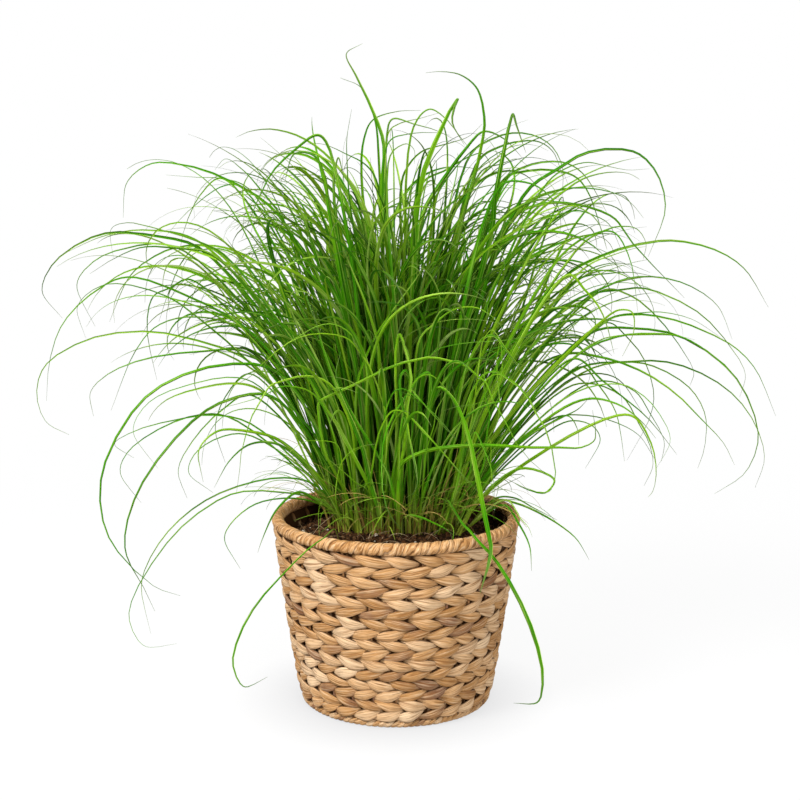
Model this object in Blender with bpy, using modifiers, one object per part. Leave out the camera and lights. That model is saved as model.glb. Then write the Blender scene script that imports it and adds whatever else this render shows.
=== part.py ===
"""Potted umbrella sedge: a tuft of long arching leaves growing in a basket of twined plant fibre.

The origin is on the ground under the middle of the basket, +Z is up, and -Y is the front.
Driving sizes are in millimetres and are turned to metres as the meshes are made.
"""

import math
from collections import namedtuple

import bmesh
import bpy
import numpy as np
from mathutils import kdtree

MM = 0.001

# Basket
RIM_RADIUS = 100.0
RIM_CORD = 5.4
RIM_HEIGHT = 157.2
FOOT_RADIUS = 77.9
FOOT_CORD = 3.2
WALL_SWELL = 2.2
WEAVE_ROWS = 16
WEAVE_BULGE = 3.8
WEAVE_GROOVE = 1.2
WALL_INSIDE = 3.4
FLOOR_RADIUS = 73.8
FLOOR_THICK = 6.2
GAP = 0.3
TURNS = 30

# Soil
SOIL_EDGE_HEIGHT = 140.0
SOIL_MIDDLE_HEIGHT = 144.5

# Leaves: FOLD is the keel's depth for each millimetre of half width, more of it in the stalk
FOLD = 0.30
STALK_FOLD = 0.50
STALK_WIDTH = 5.0
STALK_LENGTH = 55.0
NARROWING = 0.78
NARROWING_POWER = 1.6
FIRST_LIFT = (0.30, 0.30, 0.45)
CURVE_POINTS = 160

# Room round a leaf's middle line, and how far its tip may swing in depth to find it
LEAF_APART = 4.6
LEAF_ROOM = 3.2
SWING_STEP = 4
SWING_MOST = 48

# Stations are the few points of a leaf that its mesh has
STATION_TURN = 0.62
FEWEST_STATIONS = 4
MOST_STATIONS = 9
TURN_WORTH = 1.6

# The leaves below are drawn on the upright plane y = 0, seen from this eye point. A leaf that
# stands nearer or farther than the plane is moved along the line of sight to its own depth.
EYE = np.array((0.0, -1374.0, 518.4))

# points are (x, z) on that plane, or (x, z, depth); depth is the tip's distance behind the plane
Leaf = namedtuple("Leaf", "width depth points")
Shoot = namedtuple("Shoot", "root leaves")

DRAWN_SHOOTS = (
    # left side, low
    Shoot((-36, 11), (
        Leaf(5.0, -70, ((-100, 283), (-142, 289), (-191, 274), (-220, 250), (-249, 193), (-245, 141),
                        (-208, 97), (-185, 88))),
        Leaf(5.0, -105, ((-105, 262), (-143, 258), (-175, 237), (-219, 179), (-231, 130), (-214, 91),
                         (-207, 74))),
    )),
    Shoot((-47, 5), (
        Leaf(3.4, -55, ((-51, 164), (-60, 178), (-76, 189), (-106, 191), (-156, 175), (-191, 148),
                        (-212, 117), (-218, 96), (-211, 54))),
        Leaf(3.2, -35, ((-51, 161), (-63, 172), (-87, 178), (-134, 179), (-165, 163), (-194, 136),
                        (-226, 85), (-229, 65), (-217, 43), (-189, 45))),
        Leaf(3.8, -62, ((-50, 159), (-66, 171), (-83, 179), (-101, 164), (-113, 140), (-118, 126))),
        Leaf(2.6, -40, ((-50, 156), (-61, 167), (-86, 174), (-119, 169), (-141, 151), (-146, 138),
                        (-133, 112))),
    )),
    Shoot((-46, -44), (
        Leaf(3.2, -116, ((-52, 147, -64), (-58, 142.5, -78), (-61, 139.5, -90), (-73, 131, -98),
                         (-94, 110, -104), (-120, 80, -108), (-136, 50, -110), (-141, 26, -112),
                         (-132, 6, -114), (-111, 15))),
    )),
    Shoot((-44, 20), (
        Leaf(3.4, 15, ((-120, 290), (-176, 312), (-213, 317), (-257, 310), (-293, 288), (-301, 264),
                       (-294, 240), (-275, 229))),
        Leaf(4.0, -25, ((-122, 298), (-163, 300), (-212, 293), (-242, 280), (-256, 265), (-254, 245))),
        Leaf(3.2, 45, ((-130, 318), (-170, 329), (-199, 321), (-218, 299), (-239, 250))),
    )),
    Shoot((-50, 32), (
        Leaf(3.0, 55, ((-123, 239), (-154, 246), (-184, 242), (-218, 233), (-237, 221), (-221, 209))),
        Leaf(3.0, 82, ((-140, 244), (-166, 246), (-201, 233), (-227, 213), (-233, 196), (-216, 170))),
        Leaf(2.6, 35, ((-122, 275), (-179, 270), (-209, 255), (-221, 232), (-201, 200))),
    )),
    Shoot((-42, 46), (
        Leaf(3.2, 96, ((-122, 263), (-145, 251), (-171, 224), (-184, 198), (-177, 174))),
        Leaf(3.0, 125, ((-122, 281), (-142, 263), (-152, 235), (-144, 205))),
        Leaf(2.8, 70, ((-125, 229), (-150, 226), (-170, 212), (-175, 196), (-155, 179))),
    )),
    # left side, shoulder
    Shoot((-30, 15), (
        Leaf(3.6, -10, ((-120, 315), (-170, 345), (-222, 362), (-251, 349), (-277, 323), (-289, 292),
                        (-293, 258))),
        Leaf(3.0, -45, ((-120, 288), (-158, 323), (-192, 347), (-240, 356), (-264, 338), (-258, 311))),
    )),
    Shoot((-31, 39), (
        Leaf(3.2, 82, ((-150, 385), (-179, 387), (-200, 379), (-220, 363), (-238, 325))),
        Leaf(3.4, 62, ((-170, 360), (-187, 353), (-201, 346), (-207, 320), (-200, 276))),
        Leaf(3.0, 104, ((-163, 386), (-175, 377), (-187, 353), (-197, 325))),
    )),
    Shoot((-20, 24), (
        Leaf(3.6, 28, ((-160, 385), (-197, 396), (-236, 399), (-263, 389), (-285, 371), (-293, 350),
                       (-277, 328))),
        Leaf(3.0, 55, ((-160, 390), (-205, 401), (-241, 396), (-275, 381))),
        Leaf(2.6, 2, ((-179, 386), (-227, 385), (-251, 374), (-264, 356), (-250, 321))),
    )),
    Shoot((-16, 5), (
        Leaf(3.2, -70, ((-140, 379), (-159, 390), (-190, 400), (-221, 407), (-234, 402), (-233, 378))),
        Leaf(3.6, -98, ((-150, 380), (-179, 386), (-209, 387), (-232, 378), (-253, 365))),
    )),
    # crown, left of the middle
    Shoot((-16, 36), (
        Leaf(3.4, 85, ((-81, 388), (-103, 420), (-142, 444), (-173, 454), (-200, 455), (-220, 440),
                       (-224, 411))),
        Leaf(2.6, 112, ((-120, 434), (-142, 443), (-162, 444), (-188, 446))),
    )),
    Shoot((-9, 50), (
        Leaf(2.8, 138, ((-142, 443), (-160, 430), (-174, 402), (-178, 385))),
        Leaf(2.8, 165, ((-127, 436), (-141, 437), (-171, 416), (-191, 394))),
    )),
    Shoot((-5, 18), (
        Leaf(3.8, 8, ((-12, 427), (-10, 471), (-19, 498), (-32, 525), (-40, 543), (-27, 551))),
        Leaf(2.8, 40, ((-14, 458), (-17, 490), (-28, 516), (-45, 524))),
        Leaf(2.6, -30, ((-38, 425), (-40, 459), (-40, 475), (-36, 499))),
    )),
    Shoot((-20, -6), (
        Leaf(4.0, -60, ((-56, 425), (-58, 444), (-67, 462), (-83, 463), (-91, 440))),
        Leaf(3.0, -95, ((-40, 400), (-62, 478), (-85, 464), (-102, 447), (-127, 394))),
    )),
    # crown, right of the middle
    Shoot((2, 31), (
        Leaf(3.0, 66, ((-28, 441), (-26, 475), (-19, 490), (0, 497), (20, 498))),
        Leaf(3.2, 20, ((-8, 471), (-3, 491), (15, 487), (33, 482), (49, 474))),
    )),
    Shoot((16, 18), (
        Leaf(3.6, -12, ((54, 410), (64, 444), (70, 471), (72, 490), (66, 515), (53, 526), (37, 529),
                        (24, 528))),
        Leaf(3.2, 38, ((4, 436), (9, 452), (21, 465), (41, 471), (59, 477), (70, 487))),
    )),
    Shoot((5, 1), (
        Leaf(5.0, -50, ((20, 439), (36, 482), (46, 502), (50, 507), (47, 499), (46, 488), (56, 470))),
        Leaf(2.8, -85, ((-5, 461), (4, 470), (10, 471), (15, 466), (15, 455))),
    )),
    Shoot((20, 27), (
        Leaf(4.6, 22, ((21, 410), (37, 440), (56, 466), (71, 481), (87, 476), (103, 460))),
        Leaf(3.4, 60, ((67, 457), (85, 469), (99, 473), (116, 473), (128, 465), (137, 443))),
    )),
    Shoot((27, -1), (
        Leaf(4.4, -60, ((79, 402), (81, 427), (87, 460), (93, 490), (95, 495), (99, 483), (106, 464))),
        Leaf(3.4, -112, ((87, 438), (106, 440), (120, 434), (133, 420), (143, 398))),
        Leaf(4.6, -112, ((27, 250, -44), (31, 267, -52), (38, 269, -58), (47, 261, -64), (55, 246, -70),
                         (62, 224, -77), (68, 196, -85), (73, 170, -93), (78, 146, -99), (81, 128, -104),
                         (72, 90))),
    )),
    Shoot((16, 45), (
        Leaf(2.8, 105, ((60, 461), (78, 475), (97, 480), (115, 477), (128, 468), (136, 452), (136, 425))),
        Leaf(3.4, 135, ((21, 438), (41, 450), (60, 461), (71, 463), (83, 442))),
    )),
    # right side, shoulder
    Shoot((25, 10), (
        Leaf(3.6, -40, ((106, 431), (131, 450), (153, 463), (178, 467), (198, 463), (214, 446), (221, 418),
                        (208, 379))),
        Leaf(3.2, -72, ((120, 434), (135, 449), (155, 456), (173, 453), (189, 450), (207, 451))),
    )),
    Shoot((30, 36), (
        Leaf(3.2, 62, ((90, 442), (106, 453), (126, 457), (141, 455), (154, 446), (174, 414))),
        Leaf(3.2, 90, ((88, 442), (106, 449), (128, 450), (146, 445), (157, 433), (174, 385))),
        Leaf(2.6, 116, ((109, 422), (127, 431), (148, 436), (166, 436), (180, 429), (189, 409))),
    )),
    Shoot((34, 22), (
        Leaf(3.6, -8, ((97, 411), (125, 423), (147, 422), (164, 418), (180, 410), (195, 390), (239, 345))),
        Leaf(3.0, 26, ((118, 408), (135, 414), (149, 417), (163, 413), (175, 406), (186, 384))),
    )),
    Shoot((41, 0), (
        Leaf(3.2, -62, ((151, 387), (168, 399), (183, 404), (198, 402), (206, 390), (204, 377))),
        Leaf(3.8, -92, ((136, 379), (161, 397), (179, 399), (193, 377), (201, 331))),
    )),
    Shoot((39, 39), (
        Leaf(3.8, 46, ((136, 359), (170, 380), (209, 391), (233, 392), (265, 384), (288, 369), (309, 337))),
        Leaf(3.2, 74, ((149, 359), (174, 365), (196, 366), (220, 361))),
        Leaf(3.0, 100, ((154, 364), (173, 373), (191, 373), (210, 366))),
    )),
    Shoot((45, 15), (
        Leaf(3.4, -28, ((139, 336), (165, 350), (192, 361), (217, 362), (243, 355), (267, 338), (280, 310))),
        Leaf(3.4, 2, ((160, 346), (183, 351), (203, 353), (224, 347), (252, 332), (274, 310), (292, 281),
                      (288, 261))),
    )),
    # right side, low
    Shoot((47, 29), (
        Leaf(3.8, 20, ((175, 326), (199, 331), (229, 327), (257, 317), (283, 303), (301, 284), (319, 245))),
        Leaf(3.0, 44, ((180, 328), (201, 332), (220, 333), (246, 327), (270, 312))),
    )),
    Shoot((50, 6), (
        Leaf(3.8, -34, ((163, 316), (201, 319), (230, 315), (261, 299), (284, 278), (300, 249), (305, 223),
                        (295, 196), (270, 178))),
        Leaf(3.6, -58, ((153, 298), (183, 312), (207, 315), (238, 312), (266, 295), (288, 272), (303, 241))),
    )),
    Shoot((53, 18), (
        Leaf(4.0, -10, ((152, 285), (190, 291), (226, 291), (260, 279), (286, 260), (304, 234), (311, 208),
                        (304, 183))),
        Leaf(4.6, -46, ((137, 296), (172, 295), (208, 282), (236, 263), (258, 241), (276, 222), (286, 203))),
    )),
    Shoot((44, 46), (
        Leaf(3.2, 74, ((160, 284), (196, 291), (219, 286), (247, 268), (260, 245), (260, 217), (255, 200))),
        Leaf(3.2, 100, ((171, 351), (194, 347), (215, 331), (237, 304), (249, 282), (246, 271))),
        Leaf(3.2, 126, ((175, 324), (192, 312), (206, 295), (216, 264), (213, 243), (195, 207))),
    )),
    Shoot((53, -5), (
        Leaf(4.2, -84, ((149, 294), (172, 276), (187, 264), (212, 243), (237, 212))),
        Leaf(3.4, -112, ((150, 265), (188, 272), (205, 264), (219, 250), (231, 225), (220, 200))),
    )),
    Shoot((55, 42), (
        Leaf(3.2, 58, ((150, 272), (188, 263), (205, 237), (214, 220), (217, 202), (210, 185))),
        Leaf(3.0, 86, ((165, 274), (199, 267), (213, 248), (226, 223), (224, 206))),
    )),
    Shoot((58, 29), (
        Leaf(3.8, -2, ((155, 287), (170, 271), (184, 250), (189, 231), (193, 206))),
        Leaf(2.6, 34, ((138, 244), (154, 246), (178, 242), (204, 229), (219, 207))),
        Leaf(3.2, 14, ((138, 238), (152, 241), (166, 236), (172, 225), (160, 200))),
    )),
    Shoot((36, -8), (
        Leaf(4.4, -126, ((43, 172, -34), (48, 166, -46), (56, 152, -68), (63, 145, -81), (70, 136, -93),
                         (83, 122, -102), (101, 93, -110), (114, 65, -115), (123, 38, -118), (127, 13, -121),
                         (123, -8, -123), (102, -9))),
        Leaf(4.4, -30, ((47, 170), (51, 186), (54, 205), (57, 225), (61, 250), (68, 285))),
    )),
    Shoot((59, 10), (
        Leaf(3.4, -46, ((85, 174), (101, 174), (116, 166), (137, 155))),
        Leaf(3.8, -24, ((85, 172), (104, 169), (122, 161), (140, 150), (154, 138), (165, 120))),
    )),
)

# Shoots that follow a rule fill the front and the back of the tuft. A heading is in degrees
# from +X towards +Y; a leaf starts at its rise above the ground and bends down by its droop.
RuledShoot = namedtuple("RuledShoot", "root heading rise droop length width")
RULED_SHOOTS = (
    RuledShoot((-20, 61), 108, 74, 150, 395, 4.0),
    RuledShoot((4, 56), 82, 79, 138, 400, 3.8),
    RuledShoot((23, 63), 78, 68, 142, 360, 3.8),
    RuledShoot((36, 58), 56, 66, 150, 350, 3.6),
    RuledShoot((-37, 60), 128, 66, 146, 350, 3.6),
    RuledShoot((-12, 62), 92, 80, 120, 400, 3.6),
    RuledShoot((-32, -2), 248, 82, 92, 300, 4.2),
    RuledShoot((-7, -7), 268, 81, 90, 300, 4.4),
    RuledShoot((15, -8), 294, 82, 92, 310, 4.2),
    RuledShoot((8, 11), 262, 85, 80, 350, 4.0),
)
RULED_LEAVES = 3
RULED_FAN = 15.0
RULED_SHORTER = 0.14
RULED_LOWER = 5.0
RULED_STEPS = 40
RULED_BEND = 1.8


def row_height(index):
    """Height of the groove under a twined row; index 0 is the lowest groove."""
    lowest = 2 * FOOT_CORD + GAP
    highest = RIM_HEIGHT - RIM_CORD - GAP
    return lowest + (highest - lowest) * index / WEAVE_ROWS


def taper_radius(height):
    """Radius of the straight taper from rim to foot."""
    along = (height - FOOT_CORD) / (RIM_HEIGHT - FOOT_CORD)
    return FOOT_RADIUS + (RIM_RADIUS - FOOT_RADIUS) * along


def wall_radius(height):
    """Radius of the middle of the basket's wall, which swells a little outside its taper."""
    along = np.clip((height - FOOT_CORD) / (RIM_HEIGHT - FOOT_CORD), 0.0, 1.0)
    return taper_radius(height) + WALL_SWELL * 2 * np.sqrt(along * (1 - along))


def soil_height(radius):
    along = min(radius / (taper_radius(SOIL_EDGE_HEIGHT) - WALL_INSIDE), 1.0)
    return SOIL_MIDDLE_HEIGHT + (SOIL_EDGE_HEIGHT - SOIL_MIDDLE_HEIGHT) * along**2


def clear_scene():
    for thing in list(bpy.data.objects):
        bpy.data.objects.remove(thing, do_unlink=True)


def collection(name):
    made = bpy.data.collections.new(name)
    bpy.context.scene.collection.children.link(made)
    return made


def finish(name, colour, roughness):
    material = bpy.data.materials.new(name)
    material.use_nodes = True
    shader = material.node_tree.nodes["Principled BSDF"]
    shader.inputs["Base Color"].default_value = (*colour, 1.0)
    shader.inputs["Roughness"].default_value = roughness
    shader.inputs["Metallic"].default_value = 0.0
    return material


def place(thing, home, material):
    """Puts an object in one collection only and gives it its one material."""
    for other in list(thing.users_collection):
        other.objects.unlink(thing)
    home.objects.link(thing)
    thing.data.materials.clear()
    thing.data.materials.append(material)
    return thing


def turned(name, profile, home, material, closed=True):
    """A profile of (radius, height) points turned round the upright axis."""
    mesh = bpy.data.meshes.new(name)
    corners = [(radius * MM, 0.0, height * MM) for radius, height in profile]
    edges = [(i, i + 1) for i in range(len(corners) - 1)]
    if closed:
        edges.append((len(corners) - 1, 0))
    mesh.from_pydata(corners, edges, [])
    thing = bpy.data.objects.new(name, mesh)
    home.objects.link(thing)
    screw = thing.modifiers.new("turn", "SCREW")
    screw.angle = math.tau
    screw.steps = TURNS
    screw.render_steps = TURNS
    screw.use_merge_vertices = True
    screw.merge_threshold = 0.00001
    return place(thing, home, material)


def ring(name, radius, cord, height, sides, home, material):
    bpy.ops.mesh.primitive_torus_add(
        major_radius=radius * MM,
        minor_radius=cord * MM,
        major_segments=TURNS,
        minor_segments=sides,
        location=(0, 0, height * MM),
    )
    thing = bpy.context.object
    thing.name = name
    thing.data.shade_smooth()
    return place(thing, home, material)


def make_basket(home):
    weave = finish("twined_fibre", (0.45, 0.26, 0.12), 0.75)
    cord = finish("wrapped_cord", (0.50, 0.31, 0.15), 0.7)
    outside = []
    for row in range(WEAVE_ROWS):
        low, high = row_height(row), row_height(row + 1)
        middle = (low + high) / 2
        outside.append((wall_radius(low) + WEAVE_GROOVE, low))
        outside.append((wall_radius(middle) + WEAVE_BULGE, middle))
    top = row_height(WEAVE_ROWS)
    foot = row_height(0)
    outside.append((wall_radius(top) + WEAVE_GROOVE, top))
    inside = [(taper_radius(foot) - WALL_INSIDE, foot), (taper_radius(top) - WALL_INSIDE, top)]
    turned("basket_wall", list(reversed(outside)) + inside, home, weave)
    ring("rim_wrap", RIM_RADIUS, RIM_CORD, RIM_HEIGHT, 7, home, cord)
    ring("foot_cord", FOOT_RADIUS, FOOT_CORD, FOOT_CORD, 6, home, cord)
    disc = [(0, FLOOR_THICK), (FLOOR_RADIUS, FLOOR_THICK), (FLOOR_RADIUS, 0), (0, 0)]
    turned("basket_floor", disc, home, weave, closed=False)


def make_soil(home):
    """Soil that fills the basket to a low mound under the rim."""
    dark = finish("peat_soil", (0.045, 0.026, 0.016), 0.95)
    edge = taper_radius(SOIL_EDGE_HEIGHT) - WALL_INSIDE - GAP - 0.1
    foot = taper_radius(row_height(0)) - WALL_INSIDE - GAP - 0.1
    mound = [(share * edge, soil_height(share * edge)) for share in (0.0, 0.4, 0.75, 1.0)]
    bottom = FLOOR_THICK + GAP
    base = row_height(0)
    turned("soil", mound + [(foot, base), (FLOOR_RADIUS, bottom), (0, bottom)], home, dark, closed=False)


def smooth_path(knots):
    """A smooth curve through knots, which are rows of any width, paced by the root of their spacing."""
    knots = np.array(knots, float)
    gaps = np.sqrt(np.linalg.norm(np.diff(knots, axis=0), axis=1))
    times = np.concatenate(([0.0], np.cumsum(gaps)))
    slopes = np.gradient(knots, times, axis=0)
    moments = np.linspace(0.0, times[-1], CURVE_POINTS)
    span = np.clip(np.searchsorted(times, moments, side="right") - 1, 0, len(times) - 2)
    step = (times[span + 1] - times[span])[:, None]
    part = (moments - times[span])[:, None] / step
    return (
        (2 * part**3 - 3 * part**2 + 1) * knots[span]
        + (part**3 - 2 * part**2 + part) * step * slopes[span]
        + (3 * part**2 - 2 * part**3) * knots[span + 1]
        + (part**3 - part**2) * step * slopes[span + 1]
    )


def travelled(path):
    """Distance along a path at each of its points, as a share of the whole."""
    steps = np.linalg.norm(np.diff(path, axis=0), axis=1)
    along = np.concatenate(([0.0], np.cumsum(steps)))
    return along / along[-1]


def drawn_path(root, leaf, swing):
    """A drawn leaf's middle line in space: it rises from its root and then follows its points.

    swing moves the tip's depth, and less of it the nearer a point is to the root.
    """
    base = np.array((*root, soil_height(math.hypot(*root)) + GAP))
    flat = np.array([point[:2] for point in leaf.points], float)
    start = base[[0, 2]]
    share = travelled(np.vstack((start, flat)))[1:]
    pinned = [(0.0, base[1])]
    pinned += [(along, point[2]) for along, point in zip(share, leaf.points) if len(point) > 2]
    pinned.append((1.0, leaf.depth))
    depths = np.interp(share, *zip(*pinned)) + swing * share
    knots = [base]
    for (across, up), depth in zip(flat, depths):
        seen = np.array((across, 0.0, up))
        knots.append(EYE + (seen - EYE) * (1 + depth / -EYE[1]))
    first = knots[1]
    if first[2] - base[2] > STALK_LENGTH:
        lift = base + (first - base) * FIRST_LIFT
        knots.insert(1, lift)
    return smooth_path(knots)


def ruled_path(shoot, index, swing):
    """A leaf that leaves its root at a rise and bends over evenly faster towards its tip."""
    heading = math.radians(shoot.heading + swing / 2 + RULED_FAN * (index - (RULED_LEAVES - 1) / 2))
    length = shoot.length * (1 - RULED_SHORTER * index)
    rise = shoot.rise - RULED_LOWER * index
    at = np.array((*shoot.root, soil_height(math.hypot(*shoot.root)) + GAP))
    knots = [at.copy()]
    for step in range(RULED_STEPS):
        slope = math.radians(rise - shoot.droop * ((step + 0.5) / RULED_STEPS) ** RULED_BEND)
        flat = math.cos(slope)
        way = np.array((flat * math.cos(heading), flat * math.sin(heading), math.sin(slope)))
        at = at + way * length / RULED_STEPS
        knots.append(at.copy())
    return np.array(knots)


def crowding(path, tree):
    """How far the path comes inside the room that it should leave round other leaves and the basket."""
    radius = np.hypot(path[:, 0], path[:, 1])
    height = path[:, 2]
    rim = RIM_CORD + LEAF_ROOM - np.hypot(radius - RIM_RADIUS, height - RIM_HEIGHT)
    wall = WEAVE_BULGE + LEAF_ROOM - np.abs(radius - wall_radius(height))
    wall = np.where(height < RIM_HEIGHT, wall, 0.0)
    ground = LEAF_ROOM - height
    worst = max(rim.max(), wall.max(), ground.max(), 0.0)
    if tree is not None:
        near = min(tree.find(point)[2] for point in path[::2])
        worst = max(worst, LEAF_APART - near)
    return worst


def settle(make_path, tree):
    """Swings a leaf a little nearer or farther until it is clear of the leaves made before it."""
    best, least = None, None
    for swing in sorted(range(-SWING_MOST, SWING_MOST + 1, SWING_STEP), key=abs):
        path = make_path(swing)
        worst = crowding(path, tree)
        if least is None or worst < least:
            best, least = path, worst
        if worst <= 0:
            break
    return best


def plan_shoots():
    """Each shoot's leaves as (width, path) pairs, all clear of one another."""
    plans, taken, tree = [], [], None
    for shoot in DRAWN_SHOOTS:
        plans.append([(leaf.width, settle(lambda s, f=leaf: drawn_path(shoot.root, f, s), tree))
                      for leaf in shoot.leaves])
        taken += [point for _, path in plans[-1] for point in path]
        tree = tree_of(taken)
    for shoot in RULED_SHOOTS:
        plans.append([(shoot.width * (1 - 0.1 * i), settle(lambda s, n=i: ruled_path(shoot, n, s), tree))
                      for i in range(RULED_LEAVES)])
        taken += [point for _, path in plans[-1] for point in path]
        tree = tree_of(taken)
    return plans


def tree_of(points):
    tree = kdtree.KDTree(len(points))
    for index, point in enumerate(points):
        tree.insert(point, index)
    tree.balance()
    return tree


def unit(vector):
    return vector / np.linalg.norm(vector)


def stations(path):
    """A few points of the path, closer together where it turns more."""
    way = np.diff(path, axis=0)
    lengths = np.linalg.norm(way, axis=1)
    way = way / lengths[:, None]
    turns = np.arccos(np.clip((way[1:] * way[:-1]).sum(axis=1), -1, 1))
    count = int(np.clip(round(FEWEST_STATIONS + turns.sum() / STATION_TURN), FEWEST_STATIONS, MOST_STATIONS))
    worth = lengths / lengths.sum()
    worth[1:] += TURN_WORTH * turns / max(turns.sum(), STATION_TURN)
    along = np.concatenate(([0.0], np.cumsum(worth)))
    wanted = np.linspace(0.0, along[-1], count)
    return np.array([[np.interp(at, along, path[:, axis]) for axis in range(3)] for at in wanted])


def blade_mesh(name, width, path):
    """A leaf blade: a shallow keel under a flat top, thick at its stalk and closing to a point at its tip."""
    points = stations(path)
    share = travelled(points)
    length = np.linalg.norm(np.diff(points, axis=0), axis=1).sum()
    ways = [unit(points[min(i + 1, len(points) - 1)] - points[max(i - 1, 0)]) for i in range(len(points))]
    ways[0] = np.array((0.0, 0.0, 1.0))
    out = points[-1] - points[0]
    side = unit(np.cross((0.0, 0.0, 1.0), (out[0], out[1], 0.0)))
    shape = bmesh.new()
    rings = []
    for point, way, along in zip(points[:-1], ways[:-1], share[:-1]):
        side = unit(side - way * np.dot(side, way))
        up = np.cross(way, side)
        stalk = max(0.0, 1.0 - along * length / STALK_LENGTH)
        half = (width * (1.0 - NARROWING * along**NARROWING_POWER) * (1 - stalk) + STALK_WIDTH * stalk) / 2
        keel = half * (FOLD + STALK_FOLD * stalk)
        corners = (point + side * half + up * keel, point - side * half + up * keel, point - up * keel)
        rings.append([shape.verts.new(corner * MM) for corner in corners])
    tip = shape.verts.new(points[-1] * MM)
    for near, far in zip(rings, rings[1:]):
        for i in range(3):
            shape.faces.new((near[i], near[(i + 1) % 3], far[(i + 1) % 3], far[i]))
    for i in range(3):
        shape.faces.new((rings[-1][i], rings[-1][(i + 1) % 3], tip))
    shape.faces.new(list(reversed(rings[0])))
    bmesh.ops.triangulate(shape, faces=shape.faces)
    bmesh.ops.recalc_face_normals(shape, faces=shape.faces)
    mesh = bpy.data.meshes.new(name)
    shape.to_mesh(mesh)
    shape.free()
    return mesh


def make_shoots(home, blades):
    """One object a shoot: its first blade, joined at the root with the others."""
    green = finish("leaf_green", (0.10, 0.28, 0.02), 0.45)
    for number, plan in enumerate(plan_shoots(), start=1):
        name = f"shoot_{number:02d}"
        made = []
        for index, (width, path) in enumerate(plan):
            leaf_name = name if index == 0 else f"{name}_leaf_{index}"
            thing = bpy.data.objects.new(leaf_name, blade_mesh(leaf_name, width, path))
            made.append(place(thing, blades if index else home, green))
        for other in made[1:]:
            other.hide_render = True
            other.display_type = "WIRE"
            join = made[0].modifiers.new("join", "BOOLEAN")
            join.operation = "UNION"
            join.object = other


def main():
    clear_scene()
    home = collection("potted_umbrella_sedge")
    blades = collection("joined_blades")
    make_basket(home)
    make_soil(home)
    make_shoots(home, blades)


main()
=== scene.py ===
"""Potted umbrella sedge: a tuft of long arching leaves growing in a basket of twined plant fibre.

The origin is on the ground under the middle of the basket, +Z is up, and -Y is the front.
Sizes are in millimetres, as in the part's source, unless a property has its own unit. They are
turned to metres as the meshes are made.
"""

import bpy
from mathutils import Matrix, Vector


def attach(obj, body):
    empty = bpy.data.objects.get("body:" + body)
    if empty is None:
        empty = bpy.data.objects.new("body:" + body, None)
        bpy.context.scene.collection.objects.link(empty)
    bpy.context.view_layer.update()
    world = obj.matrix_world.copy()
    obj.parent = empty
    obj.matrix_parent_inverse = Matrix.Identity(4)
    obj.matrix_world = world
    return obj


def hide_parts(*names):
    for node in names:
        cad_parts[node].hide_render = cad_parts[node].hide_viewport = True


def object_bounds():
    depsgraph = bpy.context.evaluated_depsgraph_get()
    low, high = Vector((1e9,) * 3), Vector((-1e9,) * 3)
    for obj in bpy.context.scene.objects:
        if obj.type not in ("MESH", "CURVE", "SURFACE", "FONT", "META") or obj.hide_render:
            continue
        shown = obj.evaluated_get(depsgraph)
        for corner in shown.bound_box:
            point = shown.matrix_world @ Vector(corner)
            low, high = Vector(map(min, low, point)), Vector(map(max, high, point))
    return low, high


bl_info = {
    "name": "Potted Umbrella Sedge",
    "version": (1, 0, 0),
    "blender": (4, 5, 0),
    "location": "3D View > Sidebar > Sedge",
    "description": "Dresses the basket, the soil and the leaves of a potted umbrella sedge",
    "category": "Object",
}

import math
import random
from collections import namedtuple

import bmesh
import bpy
import numpy as np
from bpy.props import FloatProperty, FloatVectorProperty, IntProperty, PointerProperty
from mathutils import Vector, kdtree, noise

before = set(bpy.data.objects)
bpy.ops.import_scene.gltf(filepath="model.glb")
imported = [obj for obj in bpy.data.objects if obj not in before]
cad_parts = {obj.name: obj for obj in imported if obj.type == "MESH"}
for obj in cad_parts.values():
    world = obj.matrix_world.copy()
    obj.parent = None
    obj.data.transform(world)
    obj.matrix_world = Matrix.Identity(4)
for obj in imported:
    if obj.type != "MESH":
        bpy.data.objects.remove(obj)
CAD_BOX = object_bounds()

MM = 0.001
TAU = math.tau

# Basket, as in the part's source
RIM_RADIUS = 100.0
RIM_CORD = 5.4
RIM_HEIGHT = 157.2
FOOT_RADIUS = 77.9
FOOT_CORD = 3.2
WALL_SWELL = 2.2
WEAVE_ROWS = 16
WEAVE_BULGE = 3.8
WALL_INSIDE = 3.4
FLOOR_RADIUS = 73.8
FLOOR_THICK = 6.2
GAP = 0.3

# Stage, in metres
FLOOR_REACH = 12.0
FLOOR_FADE = (0.3, 1.2)
CONTACT_SHADOW_REACH = 0.06
LIGHTS_AIM = (0, 0, 0.25)

# Meshes of corners in rings: the shell of inner strands and the soil's bed. Crumbs lie where the bed is
# level enough and above a height.
CORE_SPOKES = 120
CORE_STEPS = 16
CORE_INSET = 1.5
CORE_HALF_THICK = 0.4
BED_SPOKES = 200
BED_RINGS = 56
BED_CLEAR = 0.1
BED_SUNK = 0.6
EDGE_LUMPINESS = 0.3
LUMP_HEIGHT = 2.2
LUMP_FINENESS = 0.09
GRIT_HEIGHT = 0.6
GRIT_FINENESS = 0.6
CRUMB_SLOPE = 0.3
CRUMB_FLOOR = 120.0

# Weave. A strand swings from the wall's front to its back in half a turn, and at the share DIVE of
# it comes to a point. A ply is a little thicker than half of the foot cord. SEAM is in metres.
DIVE = 0.83
PLY_SHARE = 0.52
SEAM = 0.00001

# How uneven the hand work is; ROW_SWAY is in metres
DRIFT = 1.9
ROW_SHIFT = 2.2
ROW_SWAY = 0.0012
WIDTH_LUCK = 0.22
DEPTH_LUCK = 0.5
CREASES = 0.34

# Soil, as in the part's source
SOIL_EDGE_HEIGHT = 140.0
SOIL_MIDDLE_HEIGHT = 144.5

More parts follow.
